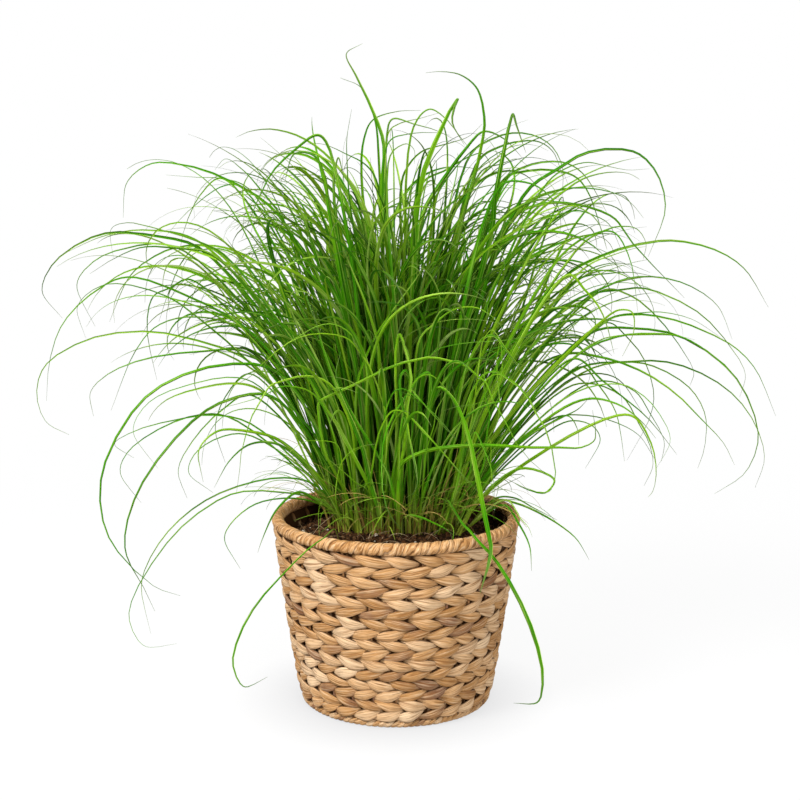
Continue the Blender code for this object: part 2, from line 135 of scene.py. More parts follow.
# Leaves, as in the part's source
STALK_LENGTH = 55.0
FIRST_LIFT = (0.30, 0.30, 0.45)
CURVE_POINTS = 160
LEAF_APART = 4.6
LEAF_ROOM = 3.2
SWING_STEP = 4
SWING_MOST = 48

# The leaves below are drawn on the upright plane y = 0, seen from this eye point. A leaf that
# stands nearer or farther than the plane is moved along the line of sight to its own depth.
EYE = np.array((0.0, -1374.0, 518.4))
EYE_PITCH = 10.70
LENS = 75.05
SENSOR = 36.0
FRAME_SHIFT = 0.0051

# A leaf's points are (x, z) on that plane, or (x, z, depth); its own depth is how far its tip stands
# behind the plane. A shoot's root is its place (x, y) on the soil.
Leaf = namedtuple("Leaf", "width depth points")
Shoot = namedtuple("Shoot", "root leaves")

DRAWN_SHOOTS = (
    # left side, low
    Shoot((-36, 11), (
        Leaf(5.0, -70, ((-100, 283), (-142, 289), (-191, 274), (-220, 250), (-249, 193), (-245, 141),
            (-208, 97), (-185, 88))),
        Leaf(5.0, -105, ((-105, 262), (-143, 258), (-175, 237), (-219, 179), (-231, 130), (-214, 91),
            (-207, 74))),
    )),
    Shoot((-47, 5), (
        Leaf(3.4, -55, ((-51, 164), (-60, 178), (-76, 189), (-106, 191), (-156, 175), (-191, 148),
            (-212, 117), (-218, 96), (-211, 54))),
        Leaf(3.2, -35, ((-51, 161), (-63, 172), (-87, 178), (-134, 179), (-165, 163), (-194, 136),
            (-226, 85), (-229, 65), (-217, 43), (-189, 45))),
        Leaf(3.8, -62, ((-50, 159), (-66, 171), (-83, 179), (-101, 164), (-113, 140), (-118, 126))),
        Leaf(2.6, -40, ((-50, 156), (-61, 167), (-86, 174), (-119, 169), (-141, 151), (-146, 138),
            (-133, 112))),
    )),
    Shoot((-46, -44), (
        Leaf(3.2, -116, ((-52, 147, -64), (-58, 142.5, -78), (-61, 139.5, -90), (-73, 131, -98),
            (-94, 110, -104), (-120, 80, -108), (-136, 50, -110), (-141, 26, -112), (-132, 6, -114),
            (-111, 15))),
    )),
    Shoot((-44, 20), (
        Leaf(3.4, 15, ((-120, 290), (-176, 312), (-213, 317), (-257, 310), (-293, 288), (-301, 264),
            (-294, 240), (-275, 229))),
        Leaf(4.0, -25, ((-122, 298), (-163, 300), (-212, 293), (-242, 280), (-256, 265), (-254, 245))),
        Leaf(3.2, 45, ((-130, 318), (-170, 329), (-199, 321), (-218, 299), (-239, 250))),
    )),
    Shoot((-50, 32), (
        Leaf(3.0, 55, ((-123, 239), (-154, 246), (-184, 242), (-218, 233), (-237, 221), (-221, 209))),
        Leaf(3.0, 82, ((-140, 244), (-166, 246), (-201, 233), (-227, 213), (-233, 196), (-216, 170))),
        Leaf(2.6, 35, ((-122, 275), (-179, 270), (-209, 255), (-221, 232), (-201, 200))),
    )),
    Shoot((-42, 46), (
        Leaf(3.2, 96, ((-122, 263), (-145, 251), (-171, 224), (-184, 198), (-177, 174))),
        Leaf(3.0, 125, ((-122, 281), (-142, 263), (-152, 235), (-144, 205))),
        Leaf(2.8, 70, ((-125, 229), (-150, 226), (-170, 212), (-175, 196), (-155, 179))),
    )),
    # left side, shoulder
    Shoot((-30, 15), (
        Leaf(3.6, -10, ((-120, 315), (-170, 345), (-222, 362), (-251, 349), (-277, 323), (-289, 292),
            (-293, 258))),
        Leaf(3.0, -45, ((-120, 288), (-158, 323), (-192, 347), (-240, 356), (-264, 338), (-258, 311))),
    )),
    Shoot((-31, 39), (
        Leaf(3.2, 82, ((-150, 385), (-179, 387), (-200, 379), (-220, 363), (-238, 325))),
        Leaf(3.4, 62, ((-170, 360), (-187, 353), (-201, 346), (-207, 320), (-200, 276))),
        Leaf(3.0, 104, ((-163, 386), (-175, 377), (-187, 353), (-197, 325))),
    )),
    Shoot((-20, 24), (
        Leaf(3.6, 28, ((-160, 385), (-197, 396), (-236, 399), (-263, 389), (-285, 371), (-293, 350),
            (-277, 328))),
        Leaf(3.0, 55, ((-160, 390), (-205, 401), (-241, 396), (-275, 381))),
        Leaf(2.6, 2, ((-179, 386), (-227, 385), (-251, 374), (-264, 356), (-250, 321))),
    )),
    Shoot((-16, 5), (
        Leaf(3.2, -70, ((-140, 379), (-159, 390), (-190, 400), (-221, 407), (-234, 402), (-233, 378))),
        Leaf(3.6, -98, ((-150, 380), (-179, 386), (-209, 387), (-232, 378), (-253, 365))),
    )),
    # crown, left of the middle
    Shoot((-16, 36), (
        Leaf(3.4, 85, ((-81, 388), (-103, 420), (-142, 444), (-173, 454), (-200, 455), (-220, 440),
            (-224, 411))),
        Leaf(2.6, 112, ((-120, 434), (-142, 443), (-162, 444), (-188, 446))),
    )),
    Shoot((-9, 50), (
        Leaf(2.8, 138, ((-142, 443), (-160, 430), (-174, 402), (-178, 385))),
        Leaf(2.8, 165, ((-127, 436), (-141, 437), (-171, 416), (-191, 394))),
    )),
    Shoot((-5, 18), (
        Leaf(3.8, 8, ((-12, 427), (-10, 471), (-19, 498), (-32, 525), (-40, 543), (-27, 551))),
        Leaf(2.8, 40, ((-14, 458), (-17, 490), (-28, 516), (-45, 524))),
        Leaf(2.6, -30, ((-38, 425), (-40, 459), (-40, 475), (-36, 499))),
    )),
    Shoot((-20, -6), (
        Leaf(4.0, -60, ((-56, 425), (-58, 444), (-67, 462), (-83, 463), (-91, 440))),
        Leaf(3.0, -95, ((-40, 400), (-62, 478), (-85, 464), (-102, 447), (-127, 394))),
    )),
    # crown, right of the middle
    Shoot((2, 31), (
        Leaf(3.0, 66, ((-28, 441), (-26, 475), (-19, 490), (0, 497), (20, 498))),
        Leaf(3.2, 20, ((-8, 471), (-3, 491), (15, 487), (33, 482), (49, 474))),
    )),
    Shoot((16, 18), (
        Leaf(3.6, -12, ((54, 410), (64, 444), (70, 471), (72, 490), (66, 515), (53, 526), (37, 529),
            (24, 528))),
        Leaf(3.2, 38, ((4, 436), (9, 452), (21, 465), (41, 471), (59, 477), (70, 487))),
    )),
    Shoot((5, 1), (
        Leaf(5.0, -50, ((20, 439), (36, 482), (46, 502), (50, 507), (47, 499), (46, 488), (56, 470))),
        Leaf(2.8, -85, ((-5, 461), (4, 470), (10, 471), (15, 466), (15, 455))),
    )),
    Shoot((20, 27), (
        Leaf(4.6, 22, ((21, 410), (37, 440), (56, 466), (71, 481), (87, 476), (103, 460))),
        Leaf(3.4, 60, ((67, 457), (85, 469), (99, 473), (116, 473), (128, 465), (137, 443))),
    )),
    Shoot((27, -1), (
        Leaf(4.4, -60, ((79, 402), (81, 427), (87, 460), (93, 490), (95, 495), (99, 483), (106, 464))),
        Leaf(3.4, -112, ((87, 438), (106, 440), (120, 434), (133, 420), (143, 398))),
        Leaf(4.6, -112, ((27, 250, -44), (31, 267, -52), (38, 269, -58), (47, 261, -64), (55, 246, -70),
            (62, 224, -77), (68, 196, -85), (73, 170, -93), (78, 146, -99), (81, 128, -104), (72, 90))),
    )),
    Shoot((16, 45), (
        Leaf(2.8, 105, ((60, 461), (78, 475), (97, 480), (115, 477), (128, 468), (136, 452), (136, 425))),
        Leaf(3.4, 135, ((21, 438), (41, 450), (60, 461), (71, 463), (83, 442))),
    )),
    # right side, shoulder
    Shoot((25, 10), (
        Leaf(3.6, -40, ((106, 431), (131, 450), (153, 463), (178, 467), (198, 463), (214, 446), (221, 418),
            (208, 379))),
        Leaf(3.2, -72, ((120, 434), (135, 449), (155, 456), (173, 453), (189, 450), (207, 451))),
    )),
    Shoot((30, 36), (
        Leaf(3.2, 62, ((90, 442), (106, 453), (126, 457), (141, 455), (154, 446), (174, 414))),
        Leaf(3.2, 90, ((88, 442), (106, 449), (128, 450), (146, 445), (157, 433), (174, 385))),
        Leaf(2.6, 116, ((109, 422), (127, 431), (148, 436), (166, 436), (180, 429), (189, 409))),
    )),
    Shoot((34, 22), (
        Leaf(3.6, -8, ((97, 411), (125, 423), (147, 422), (164, 418), (180, 410), (195, 390), (239, 345))),
        Leaf(3.0, 26, ((118, 408), (135, 414), (149, 417), (163, 413), (175, 406), (186, 384))),
    )),
    Shoot((41, 0), (
        Leaf(3.2, -62, ((151, 387), (168, 399), (183, 404), (198, 402), (206, 390), (204, 377))),
        Leaf(3.8, -92, ((136, 379), (161, 397), (179, 399), (193, 377), (201, 331))),
    )),
    Shoot((39, 39), (
        Leaf(3.8, 46, ((136, 359), (170, 380), (209, 391), (233, 392), (265, 384), (288, 369), (309, 337))),
        Leaf(3.2, 74, ((149, 359), (174, 365), (196, 366), (220, 361))),
        Leaf(3.0, 100, ((154, 364), (173, 373), (191, 373), (210, 366))),
    )),
    Shoot((45, 15), (
        Leaf(3.4, -28, ((139, 336), (165, 350), (192, 361), (217, 362), (243, 355), (267, 338),
            (280, 310))),
        Leaf(3.4, 2, ((160, 346), (183, 351), (203, 353), (224, 347), (252, 332), (274, 310), (292, 281),
            (288, 261))),
    )),
    # right side, low
    Shoot((47, 29), (
        Leaf(3.8, 20, ((175, 326), (199, 331), (229, 327), (257, 317), (283, 303), (301, 284), (319, 245))),
        Leaf(3.0, 44, ((180, 328), (201, 332), (220, 333), (246, 327), (270, 312))),
    )),
    Shoot((50, 6), (
        Leaf(3.8, -34, ((163, 316), (201, 319), (230, 315), (261, 299), (284, 278), (300, 249), (305, 223),
            (295, 196), (270, 178))),
        Leaf(3.6, -58, ((153, 298), (183, 312), (207, 315), (238, 312), (266, 295), (288, 272),
            (303, 241))),
    )),
    Shoot((53, 18), (
        Leaf(4.0, -10, ((152, 285), (190, 291), (226, 291), (260, 279), (286, 260), (304, 234), (311, 208),
            (304, 183))),
        Leaf(4.6, -46, ((137, 296), (172, 295), (208, 282), (236, 263), (258, 241), (276, 222),
            (286, 203))),
    )),
    Shoot((44, 46), (
        Leaf(3.2, 74, ((160, 284), (196, 291), (219, 286), (247, 268), (260, 245), (260, 217), (255, 200))),
        Leaf(3.2, 100, ((171, 351), (194, 347), (215, 331), (237, 304), (249, 282), (246, 271))),
        Leaf(3.2, 126, ((175, 324), (192, 312), (206, 295), (216, 264), (213, 243), (195, 207))),
    )),
    Shoot((53, -5), (
        Leaf(4.2, -84, ((149, 294), (172, 276), (187, 264), (212, 243), (237, 212))),
        Leaf(3.4, -112, ((150, 265), (188, 272), (205, 264), (219, 250), (231, 225), (220, 200))),
    )),
    Shoot((55, 42), (
        Leaf(3.2, 58, ((150, 272), (188, 263), (205, 237), (214, 220), (217, 202), (210, 185))),
        Leaf(3.0, 86, ((165, 274), (199, 267), (213, 248), (226, 223), (224, 206))),
    )),
    Shoot((58, 29), (
        Leaf(3.8, -2, ((155, 287), (170, 271), (184, 250), (189, 231), (193, 206))),
        Leaf(2.6, 34, ((138, 244), (154, 246), (178, 242), (204, 229), (219, 207))),
        Leaf(3.2, 14, ((138, 238), (152, 241), (166, 236), (172, 225), (160, 200))),
    )),
    Shoot((36, -8), (
        Leaf(4.4, -126, ((43, 172, -34), (48, 166, -46), (56, 152, -68), (63, 145, -81), (70, 136, -93),
            (83, 122, -102), (101, 93, -110), (114, 65, -115), (123, 38, -118), (127, 13, -121),
            (123, -8, -123), (102, -9))),
        Leaf(4.4, -30, ((47, 170), (51, 186), (54, 205), (57, 225), (61, 250), (68, 285))),
    )),
    Shoot((59, 10), (
        Leaf(3.4, -46, ((85, 174), (101, 174), (116, 166), (137, 155))),
        Leaf(3.8, -24, ((85, 172), (104, 169), (122, 161), (140, 150), (154, 138), (165, 120))),
    )),
)

# Shoots that follow a rule fill the front and the back of the tuft. A heading is in degrees
# from +X towards +Y; a leaf starts at its rise above the ground and bends down by its droop.
RuledShoot = namedtuple("RuledShoot", "root heading rise droop length width")
RULED_SHOOTS = (
    RuledShoot((-20, 61), 108, 74, 150, 395, 4.0),
    RuledShoot((4, 56), 82, 79, 138, 400, 3.8),
    RuledShoot((23, 63), 78, 68, 142, 360, 3.8),
    RuledShoot((36, 58), 56, 66, 150, 350, 3.6),
    RuledShoot((-37, 60), 128, 66, 146, 350, 3.6),
    RuledShoot((-12, 62), 92, 80, 120, 400, 3.6),
    RuledShoot((-32, -2), 248, 82, 92, 300, 4.2),
    RuledShoot((-7, -7), 268, 81, 90, 300, 4.4),
    RuledShoot((15, -8), 294, 82, 92, 310, 4.2),
    RuledShoot((8, 11), 262, 85, 80, 350, 4.0),
)
RULED_LEAVES = 3
RULED_FAN = 15.0
RULED_SHORTER = 0.14
RULED_NARROWER = 0.1
RULED_LOWER = 5.0
RULED_STEPS = 40
RULED_BEND = 1.8

# More leaves of the outline, each with the root that it grows from, which have no solid of their own
LOOSE_LEAVES = (
    # crown
    ((5, 25), Leaf(2.6, 24, ((14, 484), (27, 499), (40, 492), (52, 477), (60, 467)))),
    ((0, 22), Leaf(2.4, 52, ((-6, 480), (2, 487), (21, 492), (35, 496)))),
    ((3, 15), Leaf(2.6, -20, ((-6, 472), (10, 479), (35, 480), (44, 478)))),
    ((19, 20), Leaf(3.2, -20, ((69, 448), (86, 455), (99, 459), (108, 453)))),
    ((-24, 9), Leaf(3.2, -66, ((-80, 420), (-95, 439), (-109, 451), (-114, 439)))),
    ((-22, 29), Leaf(3.2, 36, ((-63, 419), (-81, 443), (-92, 453), (-98, 452)))),
    ((-26, 26), Leaf(3.0, 20, ((-92, 408), (-112, 435), (-124, 449), (-139, 459), (-148, 450)))),
    ((-11, 32), Leaf(3.0, 60, ((-18, 446), (-45, 465), (-60, 471), (-73, 471)))),
    ((-14, 11), Leaf(3.6, -44, ((-48, 400), (-51, 441), (-47, 460), (-42, 440)))),
    ((28, 4), Leaf(2.8, -70, ((140, 420), (157, 416), (167, 406), (174, 385)))),
    # sides
    ((45, 8), Leaf(3.2, -66, ((175, 329), (186, 335), (196, 333), (198, 317), (189, 296)))),
    ((44, 1), Leaf(3.6, -90, ((143, 364), (156, 352), (168, 338), (175, 323), (182, 298)))),
    ((48, 4), Leaf(2.8, -70, ((196, 246), (214, 224), (220, 199), (218, 181), (214, 175)))),
    ((51, 1), Leaf(2.6, -78, ((122, 238), (145, 245), (153, 233), (154, 220)))),
    ((50, -1), Leaf(3.2, -86, ((112, 228), (138, 243), (153, 251), (163, 262)))),
    ((51, -6), Leaf(2.4, -88, ((106, 200), (134, 190), (127, 179), (110, 182), (96, 190)))),
    ((56, 2), Leaf(2.2, -86, ((92, 168), (105, 151), (114, 132), (116, 110)))),
    ((56, 6), Leaf(2.2, -80, ((94, 172), (106, 156), (113, 148), (116, 140)))),
    ((-41, 8), Leaf(3.0, -60, ((-98, 224), (-125, 232), (-150, 232), (-166, 216), (-163, 188)))),
    ((-43, 3), Leaf(2.8, -76, ((-98, 220), (-122, 221), (-140, 207), (-154, 183)))),
)

# The same for leaves that stand in front of the tuft, which come forward early
FRONT_LEAVES = (
    ((22, 0), Leaf(3.4, -82, ((26, 240), (29, 274), (27, 282), (19, 278), (10, 263), (5, 257), (-3, 244),
        (-10, 225), (-12, 201), (-11, 180), (-6, 161), (6, 145)))),
    ((12, -4), Leaf(3.2, -78, ((10, 250), (12, 278), (8, 284), (4, 280), (3, 270), (7, 246), (12, 222),
        (17, 202), (18, 186), (14, 177)))),
    ((2, -8), Leaf(4.8, -70, ((2, 166), (3, 193), (8, 224), (10, 251), (12, 279), (10, 300), (2, 314)))),
    ((-34, -2), Leaf(3.2, -92, ((-59, 212), (-64, 237), (-65, 255), (-62, 259), (-49, 265), (-24, 277),
        (-2, 288), (13, 292), (29, 295), (45, 292), (58, 288), (66, 281), (75, 274), (81, 259), (91, 242),
        (100, 224), (107, 214), (118, 202), (128, 194)))),
    ((4, -6), Leaf(2.8, -80, ((8, 250), (12, 268), (17, 263), (28, 250), (44, 232), (52, 225)))),
    ((0, -2), Leaf(3.4, -86, ((4, 232), (8, 246), (14, 242), (28, 227), (44, 208), (60, 189)))),
    ((-6, -2), Leaf(4.8, -92, ((6, 205), (22, 214), (41, 218), (75, 220), (113, 218), (138, 218),
        (156, 218), (167, 224), (168, 232), (165, 250)))),
    ((-13, -6), Leaf(5.4, -66, ((-15, 162), (-22, 190), (-28, 217), (-37, 240), (-45, 258), (-60, 300),
        (-70, 340)))),
    ((-18, -4), Leaf(4.6, -62, ((-22, 182), (-28, 195), (-36, 211), (-51, 240), (-60, 253), (-78, 285),
        (-96, 306)))),
    ((2, -4), Leaf(3.6, -74, ((0, 166), (-5, 190), (-15, 211), (-31, 237), (-42, 258), (-50, 280),
        (-46, 300)))),
    ((-34, 4), Leaf(4.2, -60, ((-32, 272), (-26, 292), (-16, 314), (4, 343), (20, 366), (30, 390)))),
    ((-14, 6), Leaf(5.0, -60, ((-15, 302), (-19, 321), (-26, 342), (-38, 372), (-48, 396)))),
    ((16, 6), Leaf(3.4, -70, ((20, 310), (33, 324), (48, 335), (65, 337), (79, 330), (90, 318),
        (98, 300)))),
    ((40, 2), Leaf(4.0, -64, ((60, 290), (74, 312), (82, 313), (91, 302), (102, 287), (107, 280)))),
    ((44, -2), Leaf(3.4, -62, ((70, 268), (82, 280), (90, 279), (107, 267), (118, 250)))),
    ((-15, -6), Leaf(1.9, -86, ((-8, 216), (-8, 243), (-13, 264), (-24, 291), (-32, 302), (-39, 310),
        (-50, 314), (-66, 315), (-80, 312), (-93, 305), (-109, 292), (-120, 280), (-139, 269)))),
    ((-26, -4), Leaf(1.8, -82, ((-25, 259), (-26, 293), (-39, 316), (-53, 323), (-66, 321), (-80, 313),
        (-99, 301), (-108, 291), (-114, 278)))),
    ((-34, -2), Leaf(2.7, -92, ((-37, 233), (-47, 260), (-55, 272), (-66, 278), (-80, 279), (-92, 276),
        (-105, 271), (-113, 259), (-121, 245), (-127, 227), (-131, 211), (-132, 199), (-135, 179)))),
    ((-40, 0), Leaf(2.2, -78, ((-51, 224), (-62, 255), (-72, 266), (-84, 270), (-97, 270), (-110, 263),
        (-127, 257), (-139, 254), (-153, 248)))),
    ((-2, -4), Leaf(3.4, -80, ((1, 242), (0, 276), (0, 301), (3, 314), (9, 297), (13, 276), (9, 249),
        (11, 227), (15, 206), (18, 190)))),
    ((-14, -6), Leaf(2.0, -84, ((-13, 216), (-7, 255), (0, 267), (7, 268), (13, 264), (24, 255), (35, 244),
        (46, 231), (51, 224)))),
    ((-24, -4), Leaf(2.7, -90, ((-20, 199), (-13, 233), (-3, 249), (5, 249), (12, 244), (24, 230),
        (35, 219), (46, 206), (54, 197), (70, 179)))),
    ((30, 0), Leaf(2.4, -84, ((50, 224), (62, 263), (74, 281), (84, 283), (92, 278), (103, 270), (112, 259),
        (118, 247), (125, 236), (131, 219), (134, 203), (135, 193), (131, 181), (127, 179), (114, 181),
        (98, 189), (85, 195)))),
    ((32, 2), Leaf(2.0, -70, ((62, 233), (69, 284), (73, 310), (80, 318), (87, 309), (95, 298), (103, 287),
        (112, 266)))),
    ((0, -6), Leaf(2.5, -82, ((2, 199), (5, 242), (12, 268), (21, 279), (29, 280), (39, 272), (45, 264),
        (50, 252)))),
    ((4, -4), Leaf(1.5, -70, ((14, 233), (18, 276), (32, 300), (45, 305), (66, 308), (87, 309), (107, 312),
        (124, 311)))),
    ((34, -2), Leaf(1.4, -80, ((86, 242), (84, 293), (87, 308), (88, 297), (89, 287), (88, 278), (85, 267),
        (76, 259), (66, 255), (50, 253), (38, 249)))),
    ((40, -6), Leaf(3.0, -70, ((50, 179), (54, 201), (56, 223), (56, 236), (52, 255), (45, 276)))),
    ((44, -2), Leaf(2.2, -76, ((73, 199), (77, 233), (79, 244), (77, 255), (74, 267), (75, 289), (80, 305),
        (83, 318)))),
    ((20, -8), Leaf(1.8, -76, ((24, 199), (25, 212), (28, 224), (32, 237), (34, 250), (41, 263),
        (46, 274)))),
    ((40, -4), Leaf(2.4, -88, ((63, 199), (64, 224), (67, 231), (71, 224), (77, 210), (81, 198), (83, 184),
        (84, 172)))),
    ((-42, 0), Leaf(1.4, -70, ((-45, 199), (-50, 221), (-66, 224), (-77, 223), (-92, 212), (-100, 202)))),
    ((-38, -4), Leaf(1.4, -76, ((-51, 172), (-47, 202), (-41, 212), (-29, 219), (-16, 221)))),
    # short and low
    ((-34, -2), Leaf(1.6, -40, ((-36, 154), (-42, 157), (-49, 156), (-56, 151), (-64, 144)))),
    ((-20, -2), Leaf(1.4, -40, ((-25, 182), (-33, 187), (-51, 203), (-61, 211)))),
    ((-44, 2), Leaf(1.6, -30, ((-46, 202), (-45, 206), (-39, 212), (-31, 217), (-22, 221), (-17, 222)))),
    ((8, -8), Leaf(2.8, -64, ((11, 159), (22, 157), (33, 152), (41, 148), (50, 141)))),
    ((46, 0), Leaf(1.6, -40, ((45, 162), (41, 152), (32, 141)))),
    ((50, 2), Leaf(1.8, -60, ((72, 214), (79, 224), (80, 200), (82, 180), (84, 161)))),
)

# The tuft's oval on the soil, how it widens upwards, and how its leaves darken inwards and low down with
# painted shade
TUFT_WIDTH = 56.0
TUFT_DEPTH = 38.0
TUFT_BACK = 28.0
TUFT_SPREAD = 0.32
TUFT_SKIN = 0.98
TUFT_SKIN_FADE = 2.8
TUFT_SHADE_HEIGHT = 320.0
GOLDEN_ANGLE = 137.508

# A modelled leaf's width beside its solid's, as (places, values): by the height of its top and by how
# far its tip stands to a side
SEEN_BY_HEIGHT = ((300.0, 440.0), (0.52, 1.02))
SEEN_BY_REACH = ((85.0, 130.0), (1.0, 0.52))

# A leaf nods where little of it is level and its tip is bent over; it then tapers late
NOD_SLOPE = 1.2
NOD_TIP_RISE = 0.6
NOD_LEVEL_SHARE = 0.16
SLIM_TAPER = 3.6
NOD_TAPER = 7.0

# Leaves in front of the tuft, and those that hang before the wall: a long one is wider on the right
EARLY_DEPTH = 0.4
FRONT_SHARE = 0.68
HANGING_REACH = 130.0
HANGING_HEIGHT = 80.0
HANGING_TONE = 0.34
HANGING_SHARES = (0.86, 1.15)
HANGING_TAPER = 5.0
HANGING_WIDTHS = ((0.0, 0.45, 0.72), (0.25, 0.55, 1.0))
SHORT_TONE = 0.44
SHORT_SHARE = 0.86
SHORT_TAPER = 14.0

# Twist in radians, and tones from 0 dark to 1 bright, least and most
MOST_TWIST = 1.3
TONE_CURVE = (1.5, 2.1)
MODELLED_TONES = (0.14, 0.66)
FRONT_TONES = (0.30, 0.75)
WISP_TONES = (0.35, 0.85)
SHEATH_TONES = (0.0, 0.7)
DRY_WISP_TONE = 0.95

# How far a leaf's face is turned to the front, from 0 to 1. A leaf that faces it twists less, and every
# leaf twists less at its root.
MODELLED_FACING = 0.8
OUTLINE_FACING = 0.85
BLEND_FACING = 0.5
ARCH_FACING = 0.3
SHEATH_FACING = 0.4
FACING_STEADIES = 0.6
ROOT_TWIST = 0.35

# Filler leaves. Ranges are least and most; a sway is the spread of a bell curve; angles are in degrees.
FILLER_SEED = 11
TRACK_POINTS = 48
OWNER_POINTS = 12

# Blends of a modelled leaf with a neighbour: one for each high leaf and each third low one
NEIGHBOURS = 6
BLEND_TRIES = 12
BLEND_HEIGHT = 400.0
BLEND_TIP_CLEAR = 20
BLEND_PART = (0.15, 0.8)
BLEND_LENGTH = (0.6, 0.92)
BLEND_SWAY = (12, 18, 10)
BLEND_SWAY_POWER = 1.6
BLEND_ROOT_SWAY = 2.5
BLEND_WIDTH = (0.5, 0.9)

# Arches spread round the tuft by the golden angle
ARCHES = 650
ARCH_TRIES = 14
ARCH_PACKING = 0.62
ARCH_TOP = 490.0
ARCH_SWAY = 30
ARCH_RISE = 89
FRONT_UPRIGHT = 0.5
CROSSING_LEAN = (2, 18)
EDGE_LEAN = 19
EDGE_LEAN_POWER = 1.4
LEAN_SWAY = 3.5
NOD_DROOP = (100, 210)
NOD_BEND = (3.0, 7.0)
EVEN_DROOP = (60, 140)
EVEN_BEND = (1.7, 3.2)
EDGE_DROOP = 15
FRONT_STIFFER = 40
ARCH_LENGTH = (250, 435)
EDGE_SHORTER = 40
FRONT_SHORTER = 60
ARCH_CURL = 58
ARCH_WIDTH = (1.5, 4.3)
ARCH_TAPER = (3, 7)
FRONT_EDGE = 0.6
FRONT_SIDE = -0.4
CLEAR_RIM_REACH = 90.0
CLEAR_RIM_HEIGHT = 215

# Short growth: young wisps, old sheaths and dry root strands. A place is from 0 in the tuft's middle
# to 1 at its edge.
Growth = namedtuple("Growth", "count rise droop length bend curl width")
WISPS = Growth(210, (40, 84), (30, 130), (35, 115), 1.6, 60, (0.5, 1.5))
SHEATHS = Growth(240, (66, 90), (0, 46), (16, 56), 1.5, 20, (1.2, 2.8))
STRANDS = Growth(90, (10, 60), (50, 150), (10, 44), 1.0, 90, (0.3, 0.7))
GROWTH_TRIES = 10
WISP_SWAY = 40
WISP_PLACE = (0.75, 1.12)
FRONT_ARC = (190, 350)
WISP_CLEAR = 1
WISP_DRYNESS = (0.0, 0.2)
DRY = 0.8
DRY_WISP_WIDTH = (0.5, 0.9)
SHEATH_SWAY = 50
SHEATH_TURN = 1.7
SHEATH_PLACE = (0.2, 1.15)
SHEATH_DRYNESS = (0.6, 1.0)
STRAND_REACH = 86
STRAND_EDGE = 88
STRAND_SUNK = 0.5
STRAND_DIP = 2

# A leaf's line and its half widths, which the tables give by the height of its top or along its length
LINE_POINTS = 26
BLUNT_LINE_POINTS = 8
LINE_TURN_WORTH = 1.4
LEAST_TURN = 0.6
TAPER_POWER = 5.0
HAIR_HALF_WIDTH = 0.2
FULL_STALK_WIDTH = 3.0
STALK_HALF_WIDTHS = ((190, 280), (0.6, 1.05))
LOW_LEAF = 200.0
LOW_LEAF_WIDTHS = ((0, 30), (0.35, 1.0))
PALE_ROOT_HEIGHT = 58
SHARP_EDGE = 35


def row_height(index):
    """Height of the groove under a twined row; index 0 is the lowest groove."""
    lowest = 2 * FOOT_CORD + GAP
    highest = RIM_HEIGHT - RIM_CORD - GAP
    return lowest + (highest - lowest) * index / WEAVE_ROWS


def taper_radius(height):
    """Radius of the straight taper from rim to foot."""
    along = (height - FOOT_CORD) / (RIM_HEIGHT - FOOT_CORD)
    return FOOT_RADIUS + (RIM_RADIUS - FOOT_RADIUS) * along


def wall_radius(height):
    """Radius of the middle of the basket's wall, which swells a little outside its taper."""
    along = np.clip((height - FOOT_CORD) / (RIM_HEIGHT - FOOT_CORD), 0.0, 1.0)
    return taper_radius(height) + WALL_SWELL * 2 * np.sqrt(along * (1 - along))


def soil_height(radius):
    """Height of the soil, highest in the middle."""
    along = min(radius / (taper_radius(SOIL_EDGE_HEIGHT) - WALL_INSIDE), 1.0)
    return SOIL_MIDDLE_HEIGHT + (SOIL_EDGE_HEIGHT - SOIL_MIDDLE_HEIGHT) * along**2


# Lines of the leaves

def smooth_path(knots):
    """A smooth curve through knots, which are rows of any width, paced by the root of their spacing."""
    knots = np.array(knots, float)
    gaps = np.sqrt(np.linalg.norm(np.diff(knots, axis=0), axis=1))
    times = np.concatenate(([0.0], np.cumsum(gaps)))
    slopes = np.gradient(knots, times, axis=0)
    moments = np.linspace(0.0, times[-1], CURVE_POINTS)
    span = np.clip(np.searchsorted(times, moments, side="right") - 1, 0, len(times) - 2)
    step = (times[span + 1] - times[span])[:, None]
    part = (moments - times[span])[:, None] / step
    return (
        (2 * part**3 - 3 * part**2 + 1) * knots[span]
        + (part**3 - 2 * part**2 + part) * step * slopes[span]
        + (3 * part**2 - 2 * part**3) * knots[span + 1]
        + (part**3 - part**2) * step * slopes[span + 1]
    )


def travelled(path):
    """Distance along a path at each of its points, as a share of the whole."""
    steps = np.linalg.norm(np.diff(path, axis=0), axis=1)
    along = np.concatenate(([0.0], np.cumsum(steps)))
    return along / along[-1]


def drawn_path(root, leaf, swing, early=1.0):
    """A drawn leaf's middle line in space: it rises from its root and then follows its points.

    swing moves the tip's depth, and less of it the nearer a point is to the root. An early below 1
    brings the leaf to its tip's depth sooner.
    """
    base = np.array((*root, soil_height(math.hypot(*root)) + GAP))
    flat = np.array([point[:2] for point in leaf.points], float)
    start = base[[0, 2]]
    share = travelled(np.vstack((start, flat)))[1:]
    pinned = [(0.0, base[1])]
    pinned += [(along, point[2]) for along, point in zip(share, leaf.points) if len(point) > 2]
    pinned.append((1.0, leaf.depth))
    depths = np.interp(share**early, *zip(*pinned)) + swing * share
    knots = [base]
    for (across, up), depth in zip(flat, depths):
        seen = np.array((across, 0.0, up))
        knots.append(EYE + (seen - EYE) * (1 + depth / -EYE[1]))
    first = knots[1]
    if first[2] - base[2] > STALK_LENGTH:
        lift = base + (first - base) * FIRST_LIFT
        knots.insert(1, lift)
    return smooth_path(knots)


